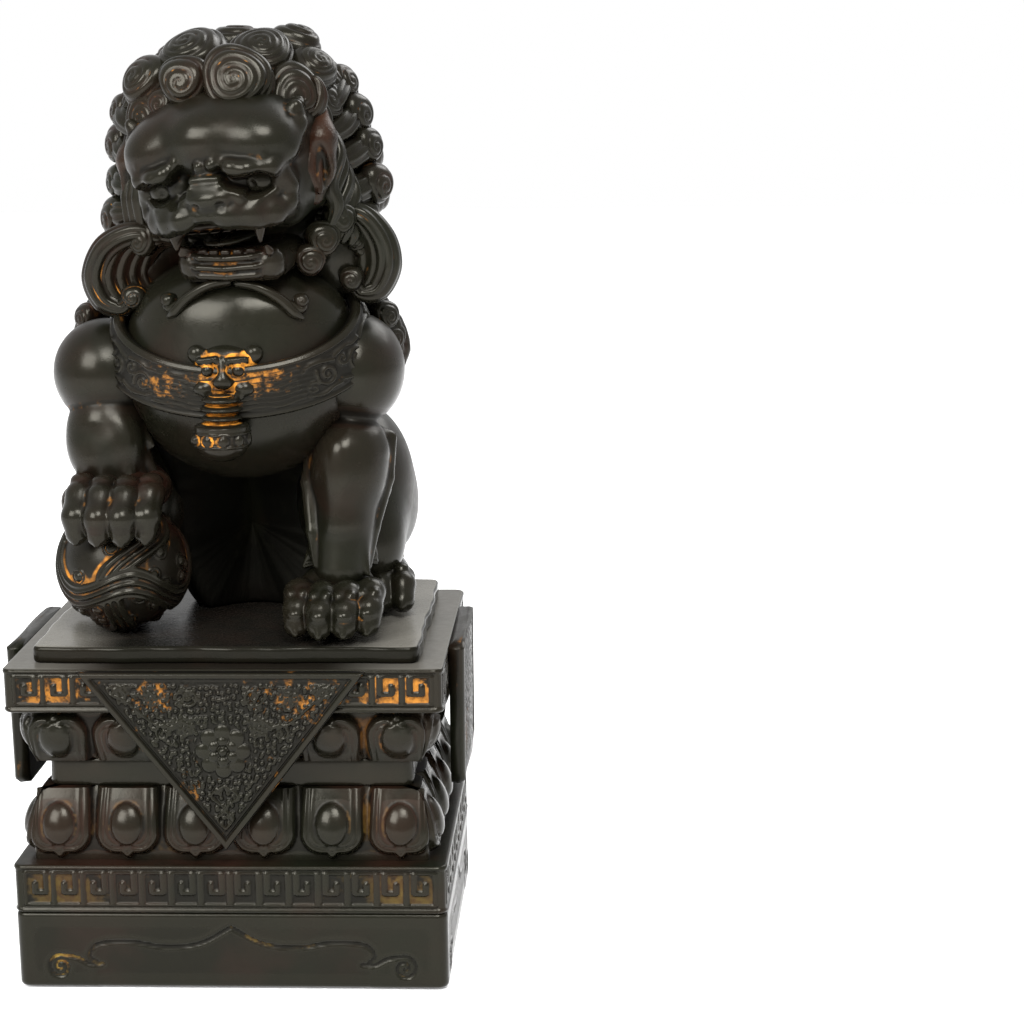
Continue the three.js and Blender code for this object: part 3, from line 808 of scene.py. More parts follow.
def skinShell(shapes, start, end, around, along, reach, depth=0.5, blur=4, relax=1, **extra):
    # the cast grid, relaxed: each point half itself, a quarter its row's neighbours and a quarter
    # its column's
    P = castSkin(shapes, start, end, around, along, reach, **extra)
    for _ in range(relax):
        rowMean = (np.roll(P, 1, 1) + np.roll(P, -1, 1)) / 2
        P[1:-1] = P[1:-1] * 0.5 + rowMean[1:-1] * 0.25 + (P[2:] + P[:-2]) * 0.125
    return shell(P, hollows(P, max(2, int(blur * fine)), depth))


def snailShell(centre, outward, radius, height, hand=1, turns=3.2, spin=0.0, stretch=1.0, coil=0.10):
    # a curl like a snail's shell: a dome over a disc with a round cord wound on it as a spiral;
    # the cord's section is sqrt(1 - (2f - 1)^2), f the fraction of turns * r - angle / 360
    rows, cols = steps(38), steps(66)
    outward = unit(np.array(outward, float))
    ex = unit(np.cross([0.0, 0.3, 1.0], outward))
    ey = np.cross(outward, ex)
    r = np.sin(np.linspace(0, np.pi / 2, rows))[:, None]
    a = aroundFrom(cols)[None]
    cord = halfRound(2 * np.mod(turns * r - hand * a / (2 * np.pi) + spin, 1.0) - 1)
    cord = cord * smooth(0.0, 0.12, r) + (1 - smooth(0.0, 0.12, r))
    h = height * halfRound(r) ** 0.9 + radius * coil * cord * (0.4 + 0.6 * r ** 0.5)
    rr = radius * r * (1 + 0.05 * cord) * (1 + 0.06 * np.sin(3 * a + spin * 9) * r)
    sag = radius * 0.22 * (1 - r ** 2) * np.ones_like(a)
    P = np.array(centre, float) + (rr * np.cos(a))[..., None] * ex \
        + (rr * np.sin(a) * stretch - sag)[..., None] * ey + h[..., None] * outward
    under = [P[-1:] - outward * height * 0.5, (P[-1:] + np.array(centre)) / 2 - outward * height * 0.9]
    sunk = 1 - cord * np.ones_like(a)
    P = np.concatenate([P, *under, np.ones((1, cols, 1)) * (np.array(centre) - outward * height)])
    return shell(P, np.concatenate([sunk, sunk[-1:], sunk[-1:], sunk[-1:]]) * 0.8 + 0.1)


def ropeShell(points, width, thick, lift, strands=5, twist=0.0, count=60, sides=40):
    # a lock along a smooth line: an oval section of round strands, sqrt(1 - (2f - 1)^2) each, that
    # may twist along the line; widths are given at a few even stations and run smoothly between
    count, sides = steps(count), steps(sides)
    path = curvePoints(points, count)
    s = np.linspace(0, 1, count)
    w = np.interp(s, np.linspace(0, 1, len(width)), width)
    t = np.interp(s, np.linspace(0, 1, len(thick)), thick)
    T = unit(np.gradient(path, axis=0))
    up = np.array(lift, float) * np.ones((count, 1))
    up = unit(up - (up * T).sum(-1, keepdims=True) * T)
    side = np.cross(T, up)
    a = aroundFrom(sides)[None]
    cord = halfRound(2 * np.mod(strands * a / (2 * np.pi) + twist * s[:, None], 1.0) - 1)
    swell = 0.80 + 0.25 * cord
    end = halfRound(1 - np.clip(s / 0.06, 0, 1)) * halfRound(1 - np.clip((1 - s) / 0.06, 0, 1))
    w, t = (w * end)[:, None] * swell, (t * end)[:, None] * swell
    P = path[:, None] + (w * np.cos(a))[..., None] * side[:, None] + (t * np.sin(a))[..., None] * up[:, None]
    return shell(P, (1 - cord) * 0.85 + 0.1)


lion = {"headTurn": -12, "headTilt": -6, "headNod": 8, "headAt": (8, -12, 302),
        "jawTilt": 4, "jawShift": 3, "chestAt": (4, -12, 234), "chestSize": (46, 36, 44)}
headTurn = turned(lion["headNod"], lion["headTilt"], lion["headTurn"])


def addSkin(name, shapes, start, end, around, along, reach, material=plainResin, slot=None, **extra):
    # one piece that is one skin
    addPiece(name, [skinShell(shapes, start, end, around, along, reach, **extra)], material)


def addOnHead(name, skin, material=plainResin, jaw=False):
    # one piece in the head's own axes, turned and moved with the head; the jaw tilts and shifts besides
    turn = headTurn @ turned(0, lion["jawTilt"], 0) if jaw else headTurn
    at = np.array(lion["headAt"], float) + (lion["jawShift"] * jaw, 0, 0)
    addPiece(name, [{**skin, "P": skin["P"] @ turn.T + at}], material)


ball = {"radius": 25.3, "sunk": -1.1, "wave": 0.26, "waves": 3, "groovePitch": 0.13, "bosses": 70,
        "bossReach": 2.2, "ribbons": [((0.9, 0.25, -0.35), 0.5, 0.22), ((0.2, -0.30, 1.0), 2.2, 0.24)]}


def buildBall():
    # a sphere whose radius carries two broad ribbons, cos-grooved along their length and waving
    # about great circles, and between them round bosses, each in a ring
    low, high, mid = spot("ball")
    th = np.linspace(0, np.pi, steps(300))[:, None]
    ph = aroundFrom(steps(420))[None]
    D = np.stack([np.sin(th) * np.cos(ph), np.sin(th) * np.sin(ph), np.cos(th) * np.ones_like(ph)], -1)
    h = np.full(D.shape[:2], ball["sunk"])
    for axis, start, wide in ball["ribbons"]:      # axis, phase of the wave, half width in radians
        k = unit(np.array(axis, float))
        e = unit(np.cross(k, [0, 1, 0.2]))
        phi = np.arctan2(D @ np.cross(k, e), D @ e)
        off = np.arcsin(np.clip(D @ k, -1, 1)) - ball["wave"] * np.sin(ball["waves"] * phi + start)
        on = smooth(wide + 0.02, wide - 0.02, np.abs(off))
        groove = np.cos(off * 2 * np.pi / ball["groovePitch"])
        h = h * (1 - on) + (0.45 + 0.6 * groove + 0.5 * bump(np.abs(off) - wide + 0.04, 0.05)) * on
    rng = np.random.default_rng(4)
    for boss in unit(rng.normal(size=(ball["bosses"], 3))):
        away = np.arccos(np.clip(D @ boss, -1, 1)) * ball["radius"]
        raised = ball["sunk"] + 1.5 * halfRound(away / ball["bossReach"]) + 0.7 * bump(away - 2.9, 0.6)
        h = np.maximum(h, np.where(away < 3.4, raised, -9))
    P = mid + D * ((high[0] - low[0]) / 2 + h - 0.4)[..., None]
    P[..., 2] = np.maximum(P[..., 2], low[2] + 0.05)
    recess = np.clip(hollows(P, 4, 0.35) * 0.75 + (h < -0.6) * 0.14, 0, 1)
    addPiece("ball", [shell(P, recess)], rubbedResin)


def toe(points, radii, claw, soft=1.6):
    # a finger of bones with a short pointed claw
    return chain(points, radii, soft) + [bone(claw[0], claw[1], 2.5, 1.5, 0.7)]


def buildLegs():
    # forepaws, the right one over the ball: a palm, four toes, each with a knuckle, and claws
    paw = [egg((-40, -25, 188), (17.5, 15, 9.5), 3, (12, 0, 0)), egg((-41, -20, 192), (13, 11, 8), 4)]
    for x, reach in ((-53, 0), (-44.3, 3.5), (-35.2, 4), (-26.8, 0.5)):
        paw += toe([(x, -33, 191), (x - 0.6, -43 - reach, 189), (x - 1, -49 - reach, 182),
                    (x - 1, -50 - reach, 176)],
                   [5.6, 5.4, 5.7, 4.4], [(x - 1, -52 - reach, 175.5), (x - 1, -52.5 - reach, 173)], 1.5)
        paw += [egg((x - 0.6, -39.5 - reach, 194), (4.4, 4, 3), 1.2)]
    paw += [egg((-60, -30, 184), (4, 7, 6), 2)]      # thumb
    addSkin("rightForepaw", paw, (-53, -33, 184), (-27, -33, 184), 230, 250, 45, ends=0.2,
            material=rubbedResin, slot="dark_resin")
    paw = [egg((40, -27, 145), (16, 15, 12), 3), egg((40, -26, 151), (13.5, 11, 9), 4)]
    for x, reach in ((26.8, 0), (36.0, 4), (45.2, 3.5), (53.6, -1)):
        paw += toe([(x, -31, 149), (x, -39 - reach, 150), (x, -46 - reach, 145.5), (x, -48.5 - reach, 140.5)],
                   [5.6, 5.7, 5.4, 5.0], [(x, -51 - reach, 140), (x, -53 - reach, 138)], 1.3)
        paw += [egg((x - 2.2, -44 - reach, 151.5), (2.3, 3, 2), 0.8),
                egg((x + 2.2, -44 - reach, 151.5), (2.3, 3, 2), 0.8),
                egg((x, -51 - reach, 145), (3.2, 2.6, 2.4), 0.8)]
    paw += [cut(slab((40, -30, 113.4), (60, 60, 20), 0.8))]      # flat on the slab
    addSkin("leftForepaw", paw, (27, -32, 143), (53, -32, 143), 230, 250, 45, ends=0.2)
    # forelegs: shoulder ball, forearm, wrist, with a crease under the shoulder and pointed tufts
    leg = [egg((-48, -14, 231.5), (20, 21, 20.5), 2),
           bone((-46.5, -21, 212), (-46, -23, 202), 15.6, 14.6, 1.2),
           bone((-46, -23, 202), (-41, -25, 191), 14, 12.4, 3), egg((-53, -23, 206), (9, 10, 11), 4),
           egg((-40, -30, 206), (8, 7.5, 11), 4)]
    for tip, root in (((-28, -28, 205), (-37, -24, 215)), ((-62, -12, 193), (-56, -14, 206)),
                      ((-58, -34, 191), (-53, -30, 199)), ((-47, -38, 190), (-46, -33, 198)),
                      ((-34, -38, 191), (-38, -33, 199)), ((-27, -28, 193), (-33, -26, 201))):
        leg += [bone(root, tip, 3.6, 0.7, 1.8)]
    addSkin("rightForeleg", leg, (-47, -14, 236), (-43, -23, 197), 200, 260, 50)
    leg = [egg((47.5, -10, 231.5), (18.5, 23, 21.5), 2),
           bone((46, -18, 201), (44.5, -21, 192), 14.4, 13.8, 1.0),
           bone((44.5, -21, 192), (42, -29, 158), 12.6, 10.4, 5), egg((51, -20, 197), (7, 9, 13), 4),
           egg((40, -22, 196), (7.5, 9, 13), 4), egg((45, -25, 198), (10.5, 10.5, 15), 5),
           bone((43, -30.5, 203), (42, -34, 176), 3.6, 2.6, 6),
           bone((50.5, -27.5, 203), (46.5, -32, 176), 3.2, 2.4, 5),
           *chain([(30.5, -18, 204), (29.5, -24, 190), (31.5, -30, 172), (33, -33, 160)],
                  [2.4, 2.8, 2.6, 1.6], 1.2),
           *chain([(60.5, -12, 206), (59, -16, 190), (54, -23, 172), (52, -27, 158)], [2.2, 2.6, 2.4, 1.4],
                  1.0),
           *chain([(59.5, -3, 198), (57.5, -9, 184), (52, -18, 166)], [2.0, 2.2, 1.2], 1.0)]
    for tip, root in (((27.5, -30, 158), (33, -28, 168)), ((53, -34, 156), (49, -30, 168)),
                      ((55, -20, 157), (50, -20, 172)), ((28, -18, 158), (33, -19, 172)),
                      ((29, -22, 190), (35, -20, 205)), ((30, -26, 176), (34, -25, 190))):
        leg += [bone(root, tip, 3.2, 0.7, 1.8)]
    addSkin("leftForeleg", leg, (47, -10, 236), (41, -26, 162), 200, 300, 50)


def buildBody():
    # the smooth breast, then the trunk, hollowed in front, then haunches and hind paws
    chest = [egg(lion["chestAt"], lion["chestSize"], 3), egg((6, -20, 256), (36, 22, 15), 10)]
    addSkin("chest", chest, (4, -12, 236), (4, -12, 236), 180, 150, 70, depth=0.8)
    torso = [bone((0, 4, 240), (0, 22, 205), 40, 37, 6), bone((0, 22, 205), (0, 24, 172), 37, 33, 6),
             bone((0, 24, 172), (0, 22, 152), 33, 30, 6), cut(slab((0, 20, 113.5), (90, 90, 20), 1)),
             cut(egg((4, -22, 172), (30, 46, 52), 6))]
    for z in np.arange(150, 262, 13):     # the ridge of the spine
        y = np.interp(z, [150, 172, 205, 240, 260], [51, 56, 57.5, 43, 38])
        torso += [egg((0, y, z), (5, 4, 5.5), 3)]
    skin = skinShell(torso, (0, 16, 236), (0, 22, 165), 190, 230, 75, depth=0.8, relax=3)
    y, z = skin["P"][..., 1], skin["P"][..., 2]
    # painted shade: the front of the trunk, between the forelegs and under the chest, is marked as deep hollow
    # so it takes the darkest colour
    skin["recess"] = np.maximum(skin["recess"] * 0.6, smooth(26, 16, y) * smooth(226, 214, z))
    addPiece("torso", [skin], shadedBellyResin)
    for side, s in (("left", 1), ("right", -1)):
        haunch = [egg((s * 42, 24, 178), (24, 31, 35.5), 3, (-18, 0, 0)),
                  egg((s * 50, 4, 160), (13, 14, 17), 8),
                  egg((s * 56, 36, 168), (9, 14, 16), 8)]
        for y, z in ((44, 150), (36, 146), (28, 145)):
            haunch += [bone((s * 56, y - 6, z + 18), (s * 60, y + 3, z + 2), 3.5, 0.8, 2)]
        haunch += [cut(slab((0, 20, 113.5), (90, 90, 20), 1))]
        addSkin(f"{side}Haunch", haunch, (s * 42, 26, 190), (s * 44, 18, 166), 170, 190, 60, depth=0.7)
        paw = [egg((s * 53, 12, 143), (12, 20, 12), 3), egg((s * 53, 6, 147), (10.5, 12, 9), 3)]
        for dx in (-8, 0, 8):
            x = s * (54 + dx)
            paw += toe([(x, 3, 146), (x + s * 0.5, -4, 145), (x + s, -9, 140)], [5.3, 5.3, 4.9],
                       [(x + s, -12.0, 140), (x + s, -13.8, 138)], 1.3)
            paw += [egg((x, -1, 151), (3.2, 3.4, 2.4), 0.8)]
        paw += [cut(slab((0, 0, 113.5), (90, 90, 20), 0.8))]
        addSkin(f"{side}HindPaw", paw, (s * 46, 4, 143), (s * 61, 4, 143), 150, 170, 45, ends=0.28)


def buildTail():
    # a flame of three ridged tongues up the back, with curls at its foot
    shells = [ropeShell([(0, 54, 146), (1, 58, 168), (-2, 58, 192), (2, 53, 214), (-2, 47, 229)],
                        [6, 10, 10, 7, 1.5], [5, 7, 7, 5, 1.5], (0, 1, 0.1), 8)]
    for s in (-1, 1):
        shells.append(ropeShell([(s * 4, 55, 152), (s * 12, 56, 170), (s * 17, 53, 188), (s * 11, 51, 206)],
                                [4, 6.5, 6, 1.2], [4, 5.5, 5, 1.2], (0, 1, 0.1), 7))
        shells.append(snailShell((s * 10, 53, 154), (s * 0.4, 1, 0), 8, 5, s))
    addPiece("tail", shells, rubbedResin)


collar = {"tilt": 31, "at": (4, -8, 253), "height": 18, "thickness": 3, "unit": 13.0, "radius": 45,
          "grown": (4.0, 0, 1.0), "strokePitch": 1.7, "strokesTo": 34}
# the scroll unit between the beads, in millimetres along and up
collarLines = [spiral((2.2, 0.4), 3.9, 1.5, 150, 30), spiral((-3.6, -2.6), 2.3, 1.2, 30, 20),
               curvePoints([(-6.5, 3.8), (-2.5, 5.2), (1.5, 5.0), (6.5, 3.8)], 12),
               curvePoints([(-6.5, -4.8), (-1.0, -5.6), (3.0, -4.6), (6.5, -4.8)], 12)]


def collarPoint(a, t, grow):
    # where a ray at angle a, in the plane t above the collar's middle, meets the grown chest egg:
    # the larger root of |(c + s d - centre) / radii|^2 = 1
    tilt = math.radians(collar["tilt"])
    upward, back = np.array([0, -math.sin(tilt), math.cos(tilt)]), np.array([0, math.cos(tilt), math.sin(tilt)])
    c = np.array(collar["at"], float) + t[..., None] * upward
    d = np.cos(a)[..., None] * np.array([1.0, 0, 0]) + np.sin(a)[..., None] * back
    # grown most across, where it stands off the shoulders
    R = np.array(lion["chestSize"], float) + collar["grown"] + grow[..., None]
    o, q = (c - np.array(lion["chestAt"], float)) / R, d / R
    A, B, C = (q * q).sum(-1), (o * q).sum(-1), (o * o).sum(-1) - 1
    s = (-B + np.sqrt(np.maximum(B * B - A * C, 0))) / A
    return c + s[..., None] * d


def buildCollar():
    # a band round the chest egg with a bead along each edge; scrolls between the beads give way to
    # long strokes, cos(2 pi t / pitch), near the mask
    cols, rows = steps(1000), steps(64)
    a = aroundFrom(cols)[None] * np.ones((rows, 1))
    half = collar["height"] / 2
    t = np.linspace(-half, half, rows)[:, None] * np.ones((1, cols))
    run = np.mod(a + np.pi / 2, 2 * np.pi) * collar["radius"]      # mm round the band, 0 at the front
    run = np.where(run > np.pi * collar["radius"], run - 2 * np.pi * collar["radius"], run)
    x = np.mod(run, collar["unit"]) - collar["unit"] / 2
    flip = np.where(np.floor(run / collar["unit"]) % 2 > 0, -1, 1)
    d = np.min([lineDistance(x, t * flip, line) for line in collarLines], axis=0)
    strokes = 0.5 + 0.5 * np.cos(2 * np.pi * (t + 0.3 * np.sin(run * 0.45)) / collar["strokePitch"])
    nearMask = smooth(collar["strokesTo"], collar["strokesTo"] - 12, np.abs(run))
    carve = bump(d, 1.1) * 0.9 * (1 - nearMask) + nearMask * strokes * 0.55 * (0.5 + 0.5 * bump(d, 1.6))
    edge = half - np.abs(t)
    h = carve * smooth(2.0, 3.2, edge) + 0.8 * bump(edge - 1.2, 1.1) + 0.3 * bump(edge - 3.0, 0.6) - 0.2
    outer = collarPoint(a, t, collar["thickness"] - 0.3 + h)
    inner = collarPoint(a[::8], t[::8][::-1], np.full(a[::8].shape, -0.6))
    sunk = np.clip(hollows(outer, 3, 0.3), 0, 1) * smooth(0, 1.5, edge) * (0.62 + 0.38 * nearMask) + 0.22
    band = shell(np.concatenate([outer, inner]), np.concatenate([sunk, np.full(a[::8].shape, 0.5)]))
    addPiece("collar", [{**band, "ring": True}], clothResin)


bell = {"foot": 203.4, "top": 229.0, "at": (2, -51), "radius": 10.2, "stem": 4.0, "ringHalf": 1.75,
        "rings": ((219.6, 7.4), (223.0, 7.8), (226.3, 7.2)), "belt": (214.4, 209.8), "bossHeight": 212.1}


def buildBell():
    # a turned bell, radius against height, with a belt, round bosses on it and three rings above
    z = np.linspace(bell["foot"], bell["top"], steps(150))[:, None]
    a = aroundFrom(steps(150))[None]
    body = bell["radius"] * halfRound(np.clip(211 - z, 0, 9) / 7.8) * smooth(219.6, 216.6, z)
    rings = sum(halfRound((z - c) / bell["ringHalf"]) * w for c, w in bell["rings"])
    stem = bell["stem"] * smooth(bell["top"], bell["top"] - 1, z) * smooth(bell["foot"], bell["foot"] + 1.6,
                                                                           z)
    r = np.maximum(np.maximum(body, rings), stem) + sum(0.6 * bump(z - c, 0.8) for c in bell["belt"])
    for angle in np.radians(np.arange(-150, 211, 36)):
        away = np.hypot((np.mod(a - angle + np.pi, 2 * np.pi) - np.pi) * 10, z - bell["bossHeight"])
        r = r + halfRound(away / 2.0) - 0.5 * bump(away - 2.3, 0.5)
    x, y = bell["at"]
    P = np.stack([x + r * np.cos(a), y + r * np.sin(a), z * np.ones_like(a)], -1)
    P = np.concatenate([P[:1] * [0, 0, 1] + [x, y, -0.1], P, P[-1:] * [0, 0, 1] + [x, y, 0.1]])
    addPiece("bell", [shell(P, hollows(P, 3, 0.3))], maskResin)


def buildMask():
    # a small beast's face: round eyes in rings, a broad nose, cheeks, horns and a lip
    shapes = [egg((3.5, -46, 236.5), (12, 5.5, 9.5), 2), egg((3, -51, 233), (4, 3.4, 3.2), 1.2),
              bone((3, -50, 240), (3, -51.5, 235), 1.6, 1.8, 1.2), egg((-4.5, -49, 230), (4, 3, 3), 1.2),
              egg((10.5, -49, 230), (4, 3, 3), 1.2), bone((-3, -50, 227), (9, -50, 227), 1.5, 1.5, 0.8)]
    for x in (-2.6, 8.6):
        shapes += [cut(egg((x, -51.8, 236.8), (4.1, 2.4, 3.9), 0.6)),
                   egg((x, -50.0, 236.8), (2.5, 2.6, 2.5), 0.3),
                   bone((x - 3, -51, 240.4), (x + 3, -51, 241.0), 1.4, 1.4, 0.8)]
    for x, s in ((-7, -1), (14, 1)):
        shapes += [egg((x, -46.5, 242.5), (3.6, 3.2, 3.6), 1),
                   bone((x, -46, 235), (x + s * 2.2, -46, 230), 2.2, 1, 1)]
    addSkin("collarMask", shapes, (-3, -42, 236), (10, -42, 236), 150, 150, 28, ends=0.25,
            material=maskResin, depth=0.3, blur=3)


def buildHead():
    # in the head's own axes: x to its left, y back, z up from between the eyes and the mouth
    half = [egg((31, -6, 10), (7, 18, 20), 5),
            egg((20, -31.5, 20), (15.5, 14, 11.5), 7),                    # brow, each side, and its rim
            *chain([(9, -46, 17.0), (14, -46.8, 14.0), (19, -46, 12.6), (26.4, -41.5, 12.2), (31, -34, 16.5),
                    (34, -26, 24), (33.5, -20, 31)], [1.8, 2.8, 3.2, 3.3, 3.2, 3.0, 2.6], 2.6),
            egg((25.5, -42.8, 17.0), (1.9, 1.9, 1.9), 0.8), egg((31, -35.0, 21), (2.0, 2.0, 2.0), 0.8),
            egg((34, -25.5, 30), (3.0, 3.0, 3.0), 1.0),
            cut(bone((16, -47.5, 25), (9.5, -49.5, 17.5), 0.8, 2.4, 1.2)),      # cleft beside the middle lobe
            cut(egg((20.2, -45.0, 7.4), (7.0, 7.0, 3.8), 1.6)),                 # eye socket
            egg((11.5, -37.5, 7.5), (6, 5.5, 6), 3), egg((27.5, -34, 7), (4, 5, 5), 3),
            *chain([(11, -43, 4.0), (15, -44, 1.8), (20, -43, 1.0), (25.5, -38.5, 3)], [1.5, 1.9, 1.9, 1.4],
                   1.4),
            *chain([(12, -42.5, 0.4), (18, -42.5, -1.8), (25, -37.5, -1.0)], [1.4, 1.6, 1.2], 1.4),
            egg((23, -22, 1), (10, 14, 14), 6),                                 # cheek, its fold, upper lip
            *chain([(28.8, -35.5, 9.0), (29.8, -33.5, 3.5), (28.8, -34.5, -1.8), (24.5, -39.0, -5.4),
                    (18.6, -43.5, -6.6)], [1.9, 2.5, 2.8, 2.8, 2.2], 2.2),
            *chain([(3, -47.0, -1.2), (9.5, -46.5, -2.6), (16, -43.5, -3.4), (22.0, -38.5, -3.8),
                    (25.5, -32, -4.2)], [4.2, 4.8, 5.0, 5.0, 4.8], 3.0)]
    middle = [egg((1.5, -37.0, 22.5), (13.5, 10.6, 10.6), 5),                   # middle lobe of the forehead
              bone((1.5, -41, 15), (3, -44.5, 7), 5.2, 5.6, 2.5),               # bridge and its wrinkles
              egg((1.8, -46.8, 15.6), (2.2, 2.3, 2.1), 0.7), egg((6.6, -46.8, 15.8), (2.5, 2.5, 2.3), 0.7),
              bone((-2, -48.2, 11.2), (8.5, -48.2, 11.2), 1.3, 1.3, 0.9),
              bone((-3, -49.0, 8.4), (9.5, -49.0, 8.4), 1.4, 1.4, 0.9),
              egg((4.0, -47.5, 4.0), (9.4, 5.6, 4.6), 1.8),                     # nose and nostril scrolls
              *chain([(11, -48, 6.0), (15.0, -46.8, 3.6), (13.5, -47.4, -0.4), (8.5, -49.6, -1.8),
                      (4.5, -50.2, -2.0)], [2.0, 2.3, 2.2, 2.0, 1.6], 1.0),
              *chain([(-3, -48.6, 5.6), (-7.0, -47.2, 3.2), (-5.5, -47.8, -0.6), (-0.5, -49.6, -1.8),
                      (4.5, -50.2, -2.0)], [2.0, 2.3, 2.2, 2.0, 1.6], 1.0),
              cut(egg((-1.0, -53, 2.0), (2.2, 2.4, 1.4), 0.9)),
              cut(egg((9.2, -52.4, 2.0), (2.2, 2.4, 1.4), 0.9)),
              # mouth, and the throat behind it
              cut(egg((1.5, -38, -15.5), (16.0, 15, 7.4), 1.8)), cut(slab((0, -20, -34), (19.5, 30, 14), 3)),
              egg((0, 0, -17), (25, 18, 15), 3)]
    skull = [egg((0, 2, 5), (32, 36, 32), 4), egg((1, -14, 23.5), (34.5, 31.5, 17.5), 5)]
    skin = skinShell([*skull, *mirrored(half), *middle], (-12, -16, 6), (12, -16, 6), 300, 360, 62, ends=0.36,
                     depth=0.45, relax=4, spread=lambda u: u - 0.075 * np.sin(2 * np.pi * u))
    skin["P"][..., 0] *= np.where(skin["P"][..., 0] < 0, 0.88, 1.0)      # the far cheek is the narrower
    addOnHead("head", skin)
    for side, s, x in (("left", 1, 19.5), ("right", -1, -17.2)):
        eye = [egg((x, -35.2, 7), (6.2, 6.6, 5.2), 1), cut(egg((x - s, -42.2, 6.6), (1.8, 1.7, 1.8), 0.5))]
        addOnHead(f"{side}Eye", skinShell(eye, (x, -34, 7), (x, -34, 7), 70, 60, 10))
        ear = [*chain([(s * 32, -17, -4), (s * 35, -17, 6), (s * 37, -14, 16), (s * 38.5, -10, 25)],
                      [3.5, 6.2, 5.8, 1.8], 4),
               cut(egg((s * 38.5, -24.5, 6), (3.4, 7.0, 11), 1.6)),
               bone((s * 36, -21, -2), (s * 38, -16, 18), 1.3, 0.8, 0.9)]
        addOnHead(f"{side}Ear", skinShell(ear, (s * 34, -14, 0), (s * 37, -11, 18), 110, 130, 30), earResin)


def buildBeard():
    # two curls that part under the chin: each a long tress, a short one and a snail curl. Their
    # places are across and up from the parting, in the object's own axes
    for side, s in (("left", 1), ("right", -1)):
        put = lambda *places: [(6.5 + s * x, y, z - (0.6 if s > 0 else 0)) for x, y, z in places]
        long = put((0, -41.5, 268.6), (9, -42.5, 267), (17, -41.5, 262.5), (22, -40.5, 257.5),
                   (25.5, -38.5, 254.5))
        short = put((15.5, -41, 263.5), (20, -40.5, 260.5), (24.5, -39, 258.6), (26, -38.5, 261.5))
        shells = [ropeShell(long, [1.5, 1.8, 2.2, 2.3, 0.8], [2.2, 2.4, 2.6, 2.6, 1.0], (0, -1, 0.25), 2,
                            count=60, sides=36),
                  ropeShell(short, [1.2, 1.8, 2.0, 1.3], [1.8, 2.2, 2.4, 1.8], (0, -1, 0.25), 2, count=44,
                            sides=30),
                  snailShell(put((24.5, -38.6, 261.6))[0], (s * 0.3, -1, 0.2), 2.8, 3.4, s, 1.0)]
        addPiece(f"{side}BeardCurl", shells, plainResin)


def buildMouth():
    # in the head's axes: a tongue with a furrow, two rows of teeth with a fang at each end, and the
    # lower jaw with three wavy folds on its chin
    tongue = [egg((0, -24, -14.5), (10.5, 14, 2.6), 1.5),
              cut(bone((0, -39, -12.2), (0, -18, -11.6), 1.2, 1.2, 1))]
    addOnHead("tongue", skinShell(tongue, (0, -26, -14.5), (0, -22, -14.5), 90, 90, 20))
    for row, z, way, tall, back, fang in (("upper", -9.0, -1, 0.4, 0, (2.5, 0.9, 5.6)),
                                          ("lower", -17.5, 1, 1.7, 1.5, (1.7, 1.0, 2.0))):
        teeth = [slab((0, -33, z - way * 1.2), (16.5, 4, 1.5), 1)]
        for x in np.arange(-3, 4) * 4.6:
            y = -41 + (x / 16) ** 2 * 5 + back
            teeth += [slab((x, y + 3, z - 0.6), (1.9, 2.0, tall), 0.4, corner=0.8)]
        for s in (-1, 1):
            teeth += [bone((s * 16.8, -37, z), (s * 16.2, -38, z + way * fang[2]), fang[0], fang[1], 0.5)]
        skin = skinShell(teeth, (-13, -34.5, z), (13, -34.5, z), 110, 210, 26, ends=0.14, depth=0.3, blur=3)
        addOnHead(f"{row}Teeth", skin, rubbedResin, jaw=way > 0)
    jaw = [egg((0, -18, -22.5), (20.5, 20, 8.0), 2), slab((0, -21.5, -22.8), (20.5, 16.5, 6.6), 4, corner=6),
           cut(egg((0, -30, -13.5), (15, 16, 3.4), 1))]
    for z, wide, y in ((-19.2, 16.5, -39.5), (-22.8, 18.5, -40), (-26.2, 18.0, -38.5)):
        jaw += chain([(-wide - 1, y + 7, z + 1.2), (-wide * 0.6, y + 1, z + 0.2), (0, y, z - 0.2),
                      (wide * 0.6, y + 1, z + 0.2), (wide + 1, y + 7, z + 1.2)], [1.1, 1.3, 1.3, 1.3, 1.1],
                     0.4)
    skin = skinShell(jaw, (-10, -22, -23.5), (10, -22, -23.5), 240, 190, 36, ends=0.25, depth=0.25, blur=3,
                     relax=0)
    addOnHead("lowerJaw", skin, jaw=True)


def eggNormal(p, centre, radii):
    # outwards at p on an ellipsoid: (p - centre) / radii^2
    return unit((np.array(p, float) - centre) / np.array(radii, float) ** 2)


def hairLock(a, b, out, width, strands=7, lift=(0, -1, 0), bow=5.0, hand=1, roll=8.0):
    # a lock from a to b that bows outwards, with a snail curl rolled on its end
    a, b, out = np.array(a, float), np.array(b, float), unit(np.array(out, float))
    path = [a, (a + b) / 2 + out * bow, b, b - out * 1.5]
    rope = ropeShell(path, width * np.array([0.7, 1, 0.95, 0.5]), width * np.array([0.6, 0.8, 0.85, 0.5]),
                     lift, strands, count=44, sides=44)
    return [rope, snailShell(b + out * 0.5, out, roll, roll * 0.85, hand, 2.4, coil=0.13)]


def evenRing(count, spread, up):
    # directions at one height, up degrees, at 90 + (k - (count - 1) / 2) * spread / count round Z
    for k in range(count):
        az, e = math.radians(90 + (k - (count - 1) / 2) * spread / count), math.radians(up)
        yield k, np.array([math.cos(az) * math.cos(e), math.sin(az) * math.cos(e), math.sin(e)])


